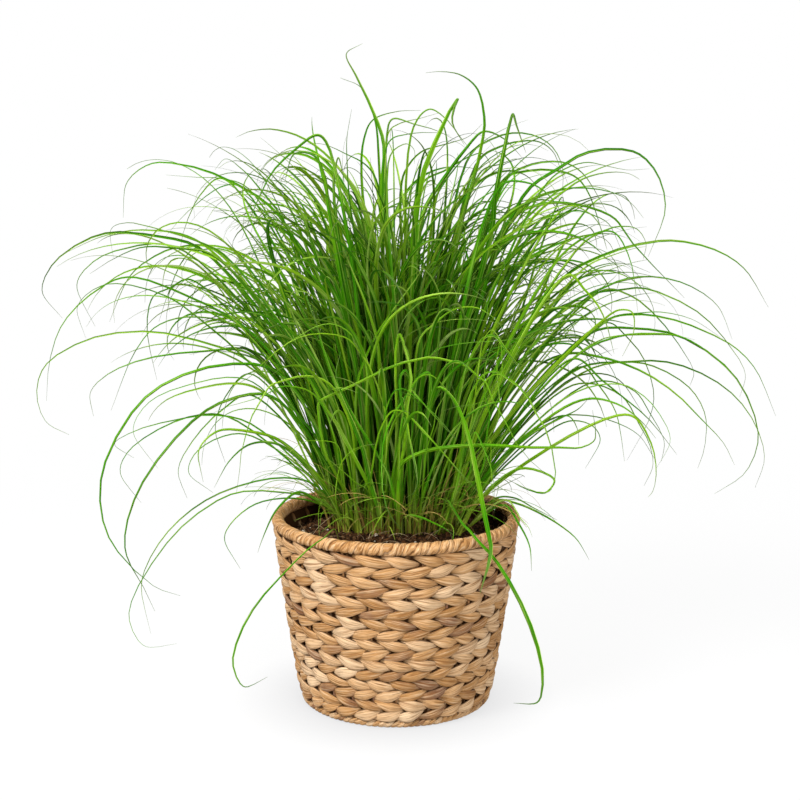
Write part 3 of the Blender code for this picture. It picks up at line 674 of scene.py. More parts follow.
def arched_path(start, heading, rise, droop, length, bend=RULED_BEND, curl=0.0):
    """A line that leaves its start at a rise and bends over ever faster; curl turns it sideways.

    heading, rise, droop and curl are in degrees.
    """
    at = np.array(start, float)
    knots = [at.copy()]
    for step in range(RULED_STEPS):
        along = (step + 0.5) / RULED_STEPS
        slope = math.radians(rise - droop * along**bend)
        turn = math.radians(heading + curl * along**2)
        flat = math.cos(slope)
        way = np.array((flat * math.cos(turn), flat * math.sin(turn), math.sin(slope)))
        at = at + way * length / RULED_STEPS
        knots.append(at.copy())
    return np.array(knots)


def ruled_path(shoot, index, swing):
    """One leaf of a ruled shoot."""
    start = (*shoot.root, soil_height(math.hypot(*shoot.root)) + GAP)
    heading = shoot.heading + swing / 2 + RULED_FAN * (index - (RULED_LEAVES - 1) / 2)
    length = shoot.length * (1 - RULED_SHORTER * index)
    return arched_path(start, heading, shoot.rise - RULED_LOWER * index, shoot.droop, length)


def near_basket(path):
    """How far the path comes inside the room that it should leave round the basket and the ground."""
    radius = np.hypot(path[:, 0], path[:, 1])
    height = path[:, 2]
    rim = RIM_CORD + LEAF_ROOM - np.hypot(radius - RIM_RADIUS, height - RIM_HEIGHT)
    wall = WEAVE_BULGE + LEAF_ROOM - np.abs(radius - wall_radius(height))
    wall = np.where(height < RIM_HEIGHT, wall, 0.0)
    ground = LEAF_ROOM - height
    return max(rim.max(), wall.max(), ground.max(), 0.0)


def crowding(path, tree):
    """How far the path comes inside the room round other leaves and the basket."""
    worst = near_basket(path)
    if tree is not None:
        near = min(tree.find(point)[2] for point in path[::2])
        worst = max(worst, LEAF_APART - near)
    return worst


def settle(make_path, tree):
    """Swings a leaf a little nearer or farther until it is clear of the leaves made before it."""
    best, least = None, None
    for swing in sorted(range(-SWING_MOST, SWING_MOST + 1, SWING_STEP), key=abs):
        path = make_path(swing)
        worst = crowding(path, tree)
        if least is None or worst < least:
            best, least = path, worst
        if worst <= 0:
            break
    return best


def plan_shoots():
    """Each shoot's leaves as (width, path) pairs, on the solids' own lines."""
    rules = [[(leaf.width, lambda swing, shoot=shoot, leaf=leaf: drawn_path(shoot.root, leaf, swing))
              for leaf in shoot.leaves] for shoot in DRAWN_SHOOTS]
    rules += [[(shoot.width * (1 - RULED_NARROWER * index),
                lambda swing, shoot=shoot, index=index: ruled_path(shoot, index, swing))
               for index in range(RULED_LEAVES)] for shoot in RULED_SHOOTS]
    plans, taken, tree = [], [], None
    for leaves in rules:
        plans.append([(width, settle(make_path, tree)) for width, make_path in leaves])
        taken += [point for _, path in plans[-1] for point in path]
        tree = tree_of(taken)
    return plans


def tree_of(points):
    """A tree for finding the nearest of many points."""
    tree = kdtree.KDTree(len(points))
    for index, point in enumerate(points):
        tree.insert(point, index)
    tree.balance()
    return tree


def unit(vector):
    """The vector made one long."""
    return vector / np.linalg.norm(vector)


def at_shares(path, wanted):
    """The path's points at the wanted shares of its length."""
    share = travelled(path)
    return np.array([np.interp(wanted, share, path[:, axis]) for axis in range(3)]).T


def line_points(path, count):
    """Points for a leaf's line, closer together where it turns more."""
    way = np.diff(path, axis=0)
    lengths = np.linalg.norm(way, axis=1)
    way = way / lengths[:, None]
    turns = np.arccos(np.clip((way[1:] * way[:-1]).sum(axis=1), -1, 1))
    worth = lengths / lengths.sum()
    worth[1:] += LINE_TURN_WORTH * turns / max(turns.sum(), LEAST_TURN)
    along = np.concatenate(([0.0], np.cumsum(worth)))
    wanted = np.linspace(0.0, along[-1], count)
    return np.array([np.interp(wanted, along, path[:, axis]) for axis in range(3)]).T


# One leaf to be made: its line in millimetres, its width, its tone from 0 dark to 1 bright, how dry
# it is, how far it twists in radians, how far its face is turned to the front from 0 to 1, whether it
# ends blunt as a sheath does, and how late it tapers
Blade = namedtuple("Blade", "path width tone dry twist facing blunt taper")


def blade_of(path, width, chance, dry=0.0, facing=0.0, blunt=False, taper=TAPER_POWER):
    """A leaf with a twist and a tone drawn by chance; one that faces the front twists less."""
    twist = chance.uniform(-MOST_TWIST, MOST_TWIST) * (1 - FACING_STEADIES * facing)
    return Blade(path, width, chance.betavariate(*TONE_CURVE), dry, twist, facing, blunt, taper)


def toned(blade, least, most):
    """The leaf with its tone brought between two others."""
    return blade._replace(tone=least + (most - least) * blade.tone)


def seen_share(path):
    """How wide a leaf is beside its solid: less for the low side leaves, whose solids are stouter."""
    by_height = np.interp(path[:, 2].max(), *SEEN_BY_HEIGHT)
    by_reach = np.interp(abs(path[-1, 0]), *SEEN_BY_REACH)
    return float(max(by_height, by_reach))


def seen_taper(path):
    """Leaves that stand straight and nod keep their width till late; the others thin out all along."""
    steps = np.diff(at_shares(path, np.linspace(0.0, 1.0, TRACK_POINTS)), axis=0)
    level = np.mean(np.abs(steps[:, 2]) < np.hypot(steps[:, 0], steps[:, 1]) * NOD_SLOPE)
    bent = steps[-1, 2] < np.linalg.norm(steps[-1]) * NOD_TIP_RISE
    nods = np.clip(1 - level / NOD_LEVEL_SHARE, 0, 1) * bent
    return float(SLIM_TAPER + (NOD_TAPER - SLIM_TAPER) * nods)


def hangs(path):
    """Whether a leaf ends in front of the basket's wall."""
    return path[-1, 1] < -RIM_RADIUS and path[-1, 2] < RIM_HEIGHT and abs(path[-1, 0]) < HANGING_REACH


def hanging_blade(blade):
    """A leaf that hangs in front of the basket: a short one keeps its width and a long one thins."""
    if blade.path[-1, 2] > HANGING_HEIGHT:
        width = blade.width * SHORT_SHARE
        return blade._replace(tone=SHORT_TONE, width=width, twist=0.0, taper=SHORT_TAPER)
    width = blade.width * HANGING_SHARES[int(blade.path[-1, 0] > 0)]
    return blade._replace(tone=HANGING_TONE, width=width, taper=HANGING_TAPER)


def modelled_blade(width, path, chance):
    """A leaf that has a solid of its own."""
    width = width * seen_share(path)
    blade = blade_of(path, width, chance, facing=MODELLED_FACING, taper=seen_taper(path))
    return hanging_blade(blade) if hangs(path) else toned(blade, *MODELLED_TONES)


def outline_blades(chance):
    """The outline's other leaves and those in front of the tuft."""
    made = []
    for root, leaf in LOOSE_LEAVES:
        path = drawn_path(root, leaf, 0)
        made.append(blade_of(path, leaf.width, chance, facing=OUTLINE_FACING, taper=seen_taper(path)))
    for root, leaf in FRONT_LEAVES:
        path = drawn_path(root, leaf, 0, EARLY_DEPTH)
        width = leaf.width * FRONT_SHARE
        blade = blade_of(path, width, chance, facing=OUTLINE_FACING, taper=seen_taper(path))
        made.append(toned(blade, *FRONT_TONES))
    return made


def blend_path(track, other, shares, chance):
    """A mix of two leaves' lines, cut shorter and moved a little."""
    part = chance.uniform(*BLEND_PART)
    mixed = track * (1 - part) + other * part
    mixed = at_shares(mixed, shares * chance.uniform(*BLEND_LENGTH))
    drift = np.array([chance.gauss(0, sway) for sway in BLEND_SWAY])
    mixed = mixed + drift * (shares[:, None] ** BLEND_SWAY_POWER)
    mixed[:, :2] += np.array([chance.gauss(0, BLEND_ROOT_SWAY), chance.gauss(0, BLEND_ROOT_SWAY)])
    return mixed


def blended_blades(guides, chance):
    """Leaves between the modelled ones, each a mix of two neighbours."""
    shares = np.linspace(0.0, 1.0, TRACK_POINTS)
    tracks = [at_shares(path, shares) for _, path in guides]
    made = []
    for number, (width, way) in enumerate(guides):
        low = way[:, 2].max() < BLEND_HEIGHT and number % 3
        if low or way[-1, 2] < RIM_HEIGHT + BLEND_TIP_CLEAR:
            continue
        apart = [np.linalg.norm(track - tracks[number], axis=1).mean() for track in tracks]
        close = list(np.argsort(apart)[1:NEIGHBOURS + 1])
        for _ in range(BLEND_TRIES):
            other = tracks[int(chance.choice(close))]
            path = blend_path(tracks[number], other, shares, chance)
            if near_basket(path) <= 0 and inside(path):
                narrower = width * chance.uniform(*BLEND_WIDTH)
                made.append(blade_of(path, narrower, chance, facing=BLEND_FACING))
                break
    return made


def tuft_place(out, around):
    """A place on the soil: out is 0 in the tuft's middle and 1 at its edge, around is in degrees."""
    turn = math.radians(around)
    across = TUFT_WIDTH * out * math.cos(turn)
    behind = TUFT_BACK + TUFT_DEPTH * out * math.sin(turn)
    return across, behind, soil_height(math.hypot(across, behind)) + GAP


def arch_path(number, out, around, chance):
    """One arch. Every third leans across the others, and every other one nods near its tip."""
    crosses = number % 3 == 0
    nods = number % 2 == 0
    heading = chance.uniform(0, 360) if crosses else around + chance.gauss(0, ARCH_SWAY)
    front = max(0.0, -math.sin(math.radians(heading)))
    if crosses:
        lean = chance.uniform(*CROSSING_LEAN)
    else:
        lean = EDGE_LEAN * out**EDGE_LEAN_POWER + chance.gauss(0, LEAN_SWAY)
    droop = chance.uniform(*NOD_DROOP) if nods else chance.uniform(*EVEN_DROOP) + EDGE_DROOP * out
    bend = chance.uniform(*(NOD_BEND if nods else EVEN_BEND))
    length = chance.uniform(*ARCH_LENGTH) - EDGE_SHORTER * out - FRONT_SHORTER * front * out
    rise = ARCH_RISE - lean * (1 - FRONT_UPRIGHT * front)
    curl = chance.gauss(0, ARCH_CURL)
    start = tuft_place(out, around)
    return arched_path(start, heading, rise, droop - FRONT_STIFFER * front, length, bend, curl)


def fits_tuft(path):
    """Whether a path keeps clear of the basket, of the room over the rim in front and of the outline."""
    before_rim = (path[:, 1] < -CLEAR_RIM_REACH) & (path[:, 2] < CLEAR_RIM_HEIGHT)
    clear = near_basket(path) <= 0 and not before_rim.any()
    return clear and inside(path) and path[:, 2].max() < ARCH_TOP


def arched_blades(chance):
    """Leaves all round the tuft, upright in its middle, leaning out at its edge and curling sideways.

    Three in five of those at the front edge are left out, because the rim stands clear there.
    """
    made = []
    for number in range(ARCHES):
        out = ((number + 0.5) / ARCHES) ** ARCH_PACKING
        around = number * GOLDEN_ANGLE
        in_front = out > FRONT_EDGE and math.sin(math.radians(around)) < FRONT_SIDE
        if in_front and number % 5 < 3:
            continue
        for _ in range(ARCH_TRIES):
            path = arch_path(number, out, around, chance)
            if fits_tuft(path):
                width = chance.uniform(*ARCH_WIDTH)
                taper = chance.uniform(*ARCH_TAPER)
                made.append(blade_of(path, width, chance, facing=ARCH_FACING, taper=taper))
                break
    return made


def grown_path(kind, start, heading, chance):
    """One line of short growth."""
    return arched_path(start, heading, chance.uniform(*kind.rise), chance.uniform(*kind.droop),
                       chance.uniform(*kind.length), kind.bend, chance.gauss(0, kind.curl))


def wisp_blades(chance):
    """Short thin young leaves at the tuft's edge, some of them dry."""
    made = []
    for number in range(WISPS.count):
        around = chance.uniform(*FRONT_ARC) if number % 3 == 0 else number * GOLDEN_ANGLE
        for _ in range(GROWTH_TRIES):
            start = tuft_place(chance.uniform(*WISP_PLACE), around)
            path = grown_path(WISPS, start, around + chance.gauss(0, WISP_SWAY), chance)
            if near_basket(path) <= 0 and (path[1:, 2] > SOIL_MIDDLE_HEIGHT + WISP_CLEAR).all():
                withered = number % 6 == 0
                dry = DRY if withered else chance.uniform(*WISP_DRYNESS)
                width = chance.uniform(*(DRY_WISP_WIDTH if withered else WISPS.width))
                blade = blade_of(path, width, chance, dry)
                made.append(blade._replace(tone=DRY_WISP_TONE) if withered else toned(blade, *WISP_TONES))
                break
    return made


def sheath_blades(chance):
    """Brown and yellow sheaths and dead leaf ends round the foot of the tuft."""
    made = []
    for number in range(SHEATHS.count):
        around = number * GOLDEN_ANGLE * SHEATH_TURN
        start = tuft_place(math.sqrt(chance.uniform(*SHEATH_PLACE)), around)
        path = grown_path(SHEATHS, start, around + chance.gauss(0, SHEATH_SWAY), chance)
        if near_basket(path) <= 0:
            width = chance.uniform(*SHEATHS.width)
            dry = chance.uniform(*SHEATH_DRYNESS)
            blade = blade_of(path, width, chance, dry, SHEATH_FACING, blunt=True)
            made.append(toned(blade, *SHEATH_TONES))
    return made


def strand_blades(chance):
    """Dry root strands that lie and loop on the soil."""
    made = []
    for _ in range(STRANDS.count):
        for _ in range(GROWTH_TRIES):
            turn = chance.uniform(0, TAU)
            reach = STRAND_REACH * math.sqrt(chance.uniform(0, 1))
            start = (reach * math.cos(turn), reach * math.sin(turn), soil_height(reach) - STRAND_SUNK)
            path = grown_path(STRANDS, start, chance.uniform(0, 360), chance)
            away = np.hypot(path[:, 0], path[:, 1])
            if away.max() < STRAND_EDGE and (path[:, 2] > SOIL_EDGE_HEIGHT - STRAND_DIP).all():
                made.append(blade_of(path, chance.uniform(*STRANDS.width), chance, 1.0, blunt=True))
                break
    return made


def inside(path):
    """Whether a path stays in the box of the solids."""
    low, high = np.array(CAD_BOX[0]) / MM, np.array(CAD_BOX[1]) / MM
    return bool((path > low).all() and (path < high).all())


def plan_blades():
    """Every leaf of each shoot: its solid's own, and the fillers that stand nearest to it."""
    chance = random.Random(FILLER_SEED)
    plans = plan_shoots()
    shoots = [[modelled_blade(width, path, chance) for width, path in plan] for plan in plans]
    guides = [pair for plan in plans for pair in plan]
    owners = [number for number, plan in enumerate(plans) for _ in plan]
    fillers = outline_blades(chance) + blended_blades(guides, chance) + arched_blades(chance)
    fillers += wisp_blades(chance) + sheath_blades(chance)
    shares = np.linspace(0.0, 1.0, OWNER_POINTS)
    tracks = [at_shares(path, shares) for _, path in guides]
    for filler in fillers:
        track = at_shares(filler.path, shares)
        apart = [np.linalg.norm(other - track, axis=1).mean() for other in tracks]
        shoots[owners[int(np.argmin(apart))]].append(filler)
    return shoots


# Node trees

def binary(operation, swapped=False):
    """An operator of Link that adds a Math node."""
    def act(self, other):
        return self.graph.math(operation, *((other, self) if swapped else (self, other)))
    return act


class Link:
    """A node's output. Arithmetic on it adds Math nodes to its tree."""

    def __init__(self, graph, socket):
        self.graph = graph
        self.socket = socket

    def out(self, name):
        """Another output of the same node."""
        return Link(self.graph, self.socket.node.outputs[name])

    __add__ = binary("ADD")
    __radd__ = binary("ADD", True)
    __sub__ = binary("SUBTRACT")
    __rsub__ = binary("SUBTRACT", True)
    __mul__ = binary("MULTIPLY")
    __rmul__ = binary("MULTIPLY", True)
    __truediv__ = binary("DIVIDE")
    __rtruediv__ = binary("DIVIDE", True)
    __mod__ = binary("FLOORED_MODULO")
    __rmod__ = binary("FLOORED_MODULO", True)
    __pow__ = binary("POWER")
    __rpow__ = binary("POWER", True)


class Graph:
    """Adds nodes to one shader or geometry tree."""

    def __init__(self, tree):
        self.tree = tree

    def add(self, kind, settings=None, sockets=None, out=0):
        """One node: its settings are set first, then its sockets by name or number.

        out is the number of the output that is handed back.
        """
        node = self.tree.nodes.new(kind)
        for name, value in (settings or {}).items():
            if name == "stops":
                fill_ramp(node.color_ramp, value)
            else:
                setattr(node, name, value)
        for name, value in (sockets or {}).items():
            self.join(value, node.inputs[name])
        return Link(self, node.outputs[out]) if len(node.outputs) else node

    def join(self, value, socket):
        """Links a value to a socket, or sets the socket to it."""
        if isinstance(value, Link):
            self.tree.links.new(value.socket, socket)
        elif socket.type == "RGBA" and len(value) == 3:
            socket.default_value = (*value, 1.0)
        else:
            socket.default_value = value

    def math(self, operation, *values):
        return self.add("ShaderNodeMath", {"operation": operation}, dict(enumerate(values)))

    def cos(self, angle):
        return self.math("COSINE", angle)

    def sin(self, angle):
        return self.math("SINE", angle)

    def vector(self, operation, *values):
        return self.add("ShaderNodeVectorMath", {"operation": operation}, dict(enumerate(values)))

    def mix(self, factor, first, second):
        """A mix of two colours."""
        return self.add("ShaderNodeMix", {"data_type": "RGBA"}, {0: factor, 6: first, 7: second}, out=2)

    def mix_number(self, factor, first, second):
        """A mix of two numbers."""
        return self.add("ShaderNodeMix", {"data_type": "FLOAT"}, {0: factor, 2: first, 3: second})

    def combine(self, x=0.0, y=0.0, z=0.0):
        return self.add("ShaderNodeCombineXYZ", sockets={"X": x, "Y": y, "Z": z})

    def around_axis(self, radius, angle, height):
        """A point at a radius and an angle round the upright axis."""
        return self.combine(radius * self.cos(angle), radius * self.sin(angle), height)

    def noise(self, vector, scale=1.0, detail=2.0, roughness=0.5):
        sockets = {"Vector": vector, "Scale": scale, "Detail": detail, "Roughness": roughness}
        return self.add("ShaderNodeTexNoise", sockets=sockets)

    def between(self, value, low, high):
        """0 at low and 1 at high, with soft ends."""
        sockets = {"Value": value, "From Min": low, "From Max": high}
        return self.add("ShaderNodeMapRange", {"interpolation_type": "SMOOTHSTEP"}, sockets)

    def ramp(self, factor, stops):
        return self.add("ShaderNodeValToRGB", {"stops": stops}, {"Fac": factor})

    def store(self, geometry, name, value, kind="FLOAT", domain="POINT"):
        """Keeps a value on the geometry under a name."""
        sockets = {"Geometry": geometry, "Name": name, "Value": value}
        return self.add("GeometryNodeStoreNamedAttribute", {"data_type": kind, "domain": domain}, sockets)

    def named(self, name, kind="FLOAT"):
        """A value kept on the geometry."""
        return self.add("GeometryNodeInputNamedAttribute", {"data_type": kind}, {"Name": name})

    def attribute(self, name, output="Fac"):
        """The same value in a material."""
        return self.add("ShaderNodeAttribute", {"attribute_name": name}).out(output)

    def luck(self, seed):
        """A number from 0 to 1 for each point, drawn by chance."""
        return self.add("FunctionNodeRandomValue", {"data_type": "FLOAT"}, {"Seed": seed}, out=1)

    def luck_vector(self, seed, low, high):
        """A vector for each point, drawn between two others."""
        sockets = {0: low, 1: high, "Seed": seed}
        return self.add("FunctionNodeRandomValue", {"data_type": "FLOAT_VECTOR"}, sockets)

    def parts(self, vector):
        """A vector's three numbers."""
        split = self.add("ShaderNodeSeparateXYZ", sockets={"Vector": vector})
        return split, split.out("Y"), split.out("Z")


def fill_ramp(ramp, stops):
    """Sets a ramp's stops, which are (place, colour) pairs."""
    while len(ramp.elements) < len(stops):
        ramp.elements.new(1.0)
    for element, (place, colour) in zip(ramp.elements, stops):
        element.position = place
        element.color = (*colour, 1.0)


def geometry_tree(name, inputs):
    """A geometry tree with named inputs, and the links that they come in by."""
    tree = bpy.data.node_groups.new(name, "GeometryNodeTree")
    tree.interface.new_socket("Geometry", in_out="OUTPUT", socket_type="NodeSocketGeometry")
    tree.interface.new_socket("Geometry", in_out="INPUT", socket_type="NodeSocketGeometry")
    kinds = {int: "NodeSocketInt", float: "NodeSocketFloat"}
    for label, default in inputs.items():
        socket = tree.interface.new_socket(label, in_out="INPUT", socket_type=kinds[type(default)])
        socket.default_value = default
    tree.interface.new_socket("Material", in_out="INPUT", socket_type="NodeSocketMaterial")
    graph = Graph(tree)
    entry = graph.add("NodeGroupInput")
    return graph, {label: entry.out(label) for label in ("Geometry", *inputs, "Material")}


def unit_grid(graph, given):
    """A flat grid of Steps by Sides faces, and each point's share of the way along and around it."""
    grid = graph.add("GeometryNodeMeshGrid", sockets={
        "Size X": 1.0, "Size Y": 1.0, "Vertices X": given["Steps"] + 1, "Vertices Y": given["Sides"] + 1,
    })
    across, down, _ = graph.parts(graph.add("GeometryNodeInputPosition"))
    return grid, across + 0.5, down + 0.5


def rolled_up(graph, grid, place):
    """The grid's points moved to their places and its seams closed."""
    rolled = graph.add("GeometryNodeSetPosition", sockets={"Geometry": grid, "Position": place})
    return graph.add("GeometryNodeMergeByDistance", sockets={"Geometry": rolled, "Distance": SEAM})


def finish_tree(graph, geometry, material):
    """Ends a tree: its instances made real, smooth, with its material."""
    real = graph.add("GeometryNodeRealizeInstances", sockets={"Geometry": geometry})
    smooth = graph.add("GeometryNodeSetShadeSmooth", sockets={"Geometry": real})
    painted = graph.add("GeometryNodeSetMaterial", sockets={"Geometry": smooth, "Material": material})
    leave = graph.tree.nodes.new("NodeGroupOutput")
    graph.join(painted, leave.inputs["Geometry"])
    return graph.tree


def placed(name, data):
    """A new object at the origin, in the scene."""
    thing = bpy.data.objects.new(name, data)
    bpy.context.scene.collection.objects.link(thing)
    return thing


def built(name, tree, values, data=None):
    """What a tree makes from its values, as a plain mesh object at the origin."""
    carrier = placed(f"{name}_carrier", data or bpy.data.meshes.new(f"{name}_carrier"))
    modifier = carrier.modifiers.new("nodes", "NODES")
    modifier.node_group = tree
    for item in tree.interface.items_tree:
        if item.in_out == "INPUT" and item.name in values:
            modifier[item.identifier] = values[item.name]
    evaluated = carrier.evaluated_get(bpy.context.evaluated_depsgraph_get())
    mesh = bpy.data.meshes.new_from_object(evaluated)
    carrier.modifiers.remove(modifier)
    bpy.data.objects.remove(carrier)
    mesh.name = name
    return placed(name, mesh)


def twined_rows_tree():
    """Rows of two strands twisted round evenly spaced stakes.

    The rows stand on a line from the start radius and height to the end ones, turned round the axis.
    Each strand is a tube that crosses its row at a slant, wide and flat in front of a stake. With a
    Pinch of 1 it thins to a point where it dives, and with a Pinch of 0 it is a round two-ply cord.
    """
    graph, given = geometry_tree("twined_rows", {
        "Rows": 1, "First Row": 0, "Stakes": 30, "Start Radius": 0.08, "Start Height": 0.0,
        "End Radius": 0.1, "End Height": 0.1, "Swell": 0.0, "Swell From": 0.0, "Swell To": 1.0,
        "Half Width": 0.005, "Half Thickness": 0.002, "Depth": 0.002, "Lift": 0.002, "Pinch": 0.5,
        "Unevenness": 1.0, "Grain Length": 30.0, "Steps": 270, "Sides": 14, "Seed": 1,
    })
    grid, along, around = unit_grid(graph, given)
    line = graph.add("GeometryNodeMeshLine", sockets={"Count": given["Rows"] * 2, "Offset": (0, 0, 0)})
    strands = graph.add("GeometryNodeInstanceOnPoints", sockets={"Points": line, "Instance": grid})
    strands = graph.store(strands, "number", graph.add("GeometryNodeInputIndex"), "INT", "INSTANCE")
    strands = graph.add("GeometryNodeRealizeInstances", sockets={"Geometry": strands})

    # Each strand's own number, its row, and which of the row's two strands it is
    number = graph.named("number", "INT") + given["First Row"] * 2
    row = graph.math("FLOOR", number / 2)
    second = number % 2
    lean = 1 - (row % 2) * 2

    # Where the hand work strays
    uneven = given["Unevenness"]
    turn = along * TAU
    spot = graph.around_axis(2.6, turn, number * 3.7 + given["Seed"])
    drift = (graph.noise(spot) - 0.5) * uneven * DRIFT
    row_luck = graph.add("ShaderNodeTexWhiteNoise", {"noise_dimensions": "1D"},
                         {"W": row + given["Seed"] * 0.37})
    shift = (row_luck - 0.5) * uneven * ROW_SHIFT
    swell = (graph.noise(spot, 1.9) - 0.5) * uneven
    sway = (graph.noise(graph.around_axis(1.2, turn, row * 5.1)) - 0.5) * uneven * ROW_SWAY

    # The strand's turn about its row: front is 1 before a stake and -1 behind it
    twist = turn * given["Stakes"] / 2 + second * math.pi + drift + shift
    front = graph.cos(twist)
    climb = graph.sin(twist)
    lozenge = graph.math("FLOOR", (twist + math.pi) / TAU) % (given["Stakes"] / 2)
    luck = graph.add("ShaderNodeTexWhiteNoise", {"noise_dimensions": "3D"},
                     {"Vector": graph.combine(lozenge, number, given["Seed"])})

    # The row's place on the wall's line, and the ways up and out from it
    share = (row - given["First Row"] + 0.5) / given["Rows"]
    rise = given["End Height"] - given["Start Height"]
    spread = given["End Radius"] - given["Start Radius"]
    reach = graph.math("SQRT", rise * rise + spread * spread)
    up_r, up_z = spread / reach, rise / reach
    out_r, out_z = up_z, 0 - up_r
    level = given["Swell From"] + (given["Swell To"] - given["Swell From"]) * share
    swelling = given["Swell"] * 2 * graph.math("SQRT", level * (1 - level))
    radius = given["Start Radius"] + spread * share + swelling
    height = given["Start Height"] + rise * share

    # A spindle from one dive to the next, and behind the stakes a short one that joins them
    away = graph.math("ARCCOSINE", front) / math.pi
    ahead, behind = away / DIVE, (1 - away) / (1 - DIVE)
    slant = graph.math("SIGN", climb) * graph.math("MINIMUM", ahead, behind)
    rising = climb + (slant - climb) * given["Pinch"]
    spindle = graph.math("MAXIMUM", 1 - ahead ** 1.8, 0.9 - behind * behind * 0.9)
    spindle = graph.math("MAXIMUM", spindle, 0.0)
    narrow = 1 - given["Pinch"] * (1 - spindle)

    # The tube's section, creased like dry fibre
    shown = graph.math("MAXIMUM", front, 0.0)
    half_width = given["Half Width"] * narrow * (1 + swell * 0.5 + (luck - 0.5) * shown * WIDTH_LUCK)
    half_thick = given["Half Thickness"] * (1 + swell * 0.4) * narrow
    side = around * TAU + math.pi
    crease = graph.noise(graph.around_axis(3.6, side, graph.cos(turn) * 4 + number * 9.1), 1.0, 3.0)
    section = 1 + (crease - 0.5) * CREASES * uneven
    thick = graph.cos(side) * half_thick * section
    wide = graph.sin(side) * half_width * section

    # The section stands square to the strand, so it leans back where the strand climbs
    rate = given["Stakes"] / 2 / radius
    slope_up = lean * given["Lift"] * rate * (front + (1 / (DIVE * math.pi) - front) * given["Pinch"])
    slope_out = 0 - given["Depth"] * climb * rate
    outward = given["Depth"] * front * (1 + (luck - 0.5) * shown * DEPTH_LUCK) + thick
    upward = lean * given["Lift"] * rising + wide + sway
    back = (0 - slope_up) * wide - slope_out * thick
    from_axis = radius + outward * out_r + upward * up_r
    place = graph.around_axis(from_axis, turn + back / radius, height + outward * out_z + upward * up_z)

    # Painted shade: a strand darkens towards the edges of its section and where it dives behind a stake and
    # the other strand
    edge = graph.math("ABSOLUTE", graph.sin(side))
    dives = graph.between(front, -0.3, -0.8) * (1 - graph.between(front, -0.84, -1.0) * 0.4)
    hidden = graph.math("MAXIMUM", graph.between(edge, 0.78, 1.0) * 0.85, dives)
    grain = graph.combine(along * given["Grain Length"], around * 19, number * 4.3 + luck * 3)
    rows = graph.store(strands, "grain", grain, "FLOAT_VECTOR", "CORNER")
    rows = graph.store(rows, "tone", luck)
    rows = graph.store(rows, "hidden", hidden)
    return finish_tree(graph, rolled_up(graph, rows, place), given["Material"])


def wrapped_ring_tree():
    """A ring wound with many leaning turns of a flat strip, with painted shade in the grooves between the
    turns.
    """
    graph, given = geometry_tree("wrapped_ring", {
        "Radius": 0.1, "Cord": 0.005, "Height": 0.15, "Turns": 96, "Lean": 2, "Ridge": 0.0011,
        "Steps": 768, "Sides": 24,
    })
    grid, along, around = unit_grid(graph, given)
    turn = along * TAU
    side = around * TAU + math.pi
    uneven = graph.noise(graph.around_axis(9, turn, 1.7)) - 0.5
    wrap = along * given["Turns"] - around * given["Lean"] + uneven * 2.4
    strip = graph.math("FLOOR", wrap)
    luck = graph.add("ShaderNodeTexWhiteNoise", {"noise_dimensions": "1D"}, {"W": strip % given["Turns"]})
    ridge = graph.sin((wrap - strip) * math.pi) ** 0.45
    cord = given["Cord"] - given["Ridge"] + given["Ridge"] * ridge * (0.7 + luck * 0.3)
    place = graph.around_axis(given["Radius"] + cord * graph.cos(side), turn,
                              given["Height"] + cord * graph.sin(side))
    ring = graph.store(grid, "grain", graph.combine(around * 4, wrap * 3.2, 0.5), "FLOAT_VECTOR", "CORNER")
    ring = graph.store(ring, "tone", luck * 0.45 + 0.15)
    # Painted shade: darker in the grooves between the turns
    ring = graph.store(ring, "hidden", graph.between(ridge, 0.78, 0.35) * 0.7)
    return finish_tree(graph, rolled_up(graph, ring, place), given["Material"])


def stakes_tree():
    """Upright stakes that lean with the wall, evenly round it."""
    graph, given = geometry_tree("stakes", {
        "Stakes": 30, "Foot Radius": 0.078, "Foot Height": 0.003, "Top Radius": 0.1, "Top Height": 0.15,
        "Stake Radius": 0.0009, "Swell": 0.002,
    })
    rod = graph.add("GeometryNodeCurveQuadraticBezier", sockets={
        "Resolution": 12,
        "Start": graph.combine(given["Foot Radius"], 0.0, given["Foot Height"]),
        "Middle": graph.combine((given["Foot Radius"] + given["Top Radius"]) / 2 + given["Swell"] * 2, 0.0,
                                (given["Foot Height"] + given["Top Height"]) / 2),
        "End": graph.combine(given["Top Radius"], 0.0, given["Top Height"]),
    })
    section = graph.add("GeometryNodeCurvePrimitiveCircle", sockets={
        "Resolution": 6, "Radius": given["Stake Radius"],
    })
    rod = graph.add("GeometryNodeCurveToMesh", sockets={
        "Curve": rod, "Profile Curve": section, "Fill Caps": True,
    })
    line = graph.add("GeometryNodeMeshLine", sockets={"Count": given["Stakes"], "Offset": (0, 0, 0)})
    index = graph.add("GeometryNodeInputIndex")
    rods = graph.add("GeometryNodeInstanceOnPoints", sockets={
        "Points": line, "Instance": rod, "Rotation": graph.combine(z=index * TAU / given["Stakes"]),
    })
    return finish_tree(graph, rods, given["Material"])


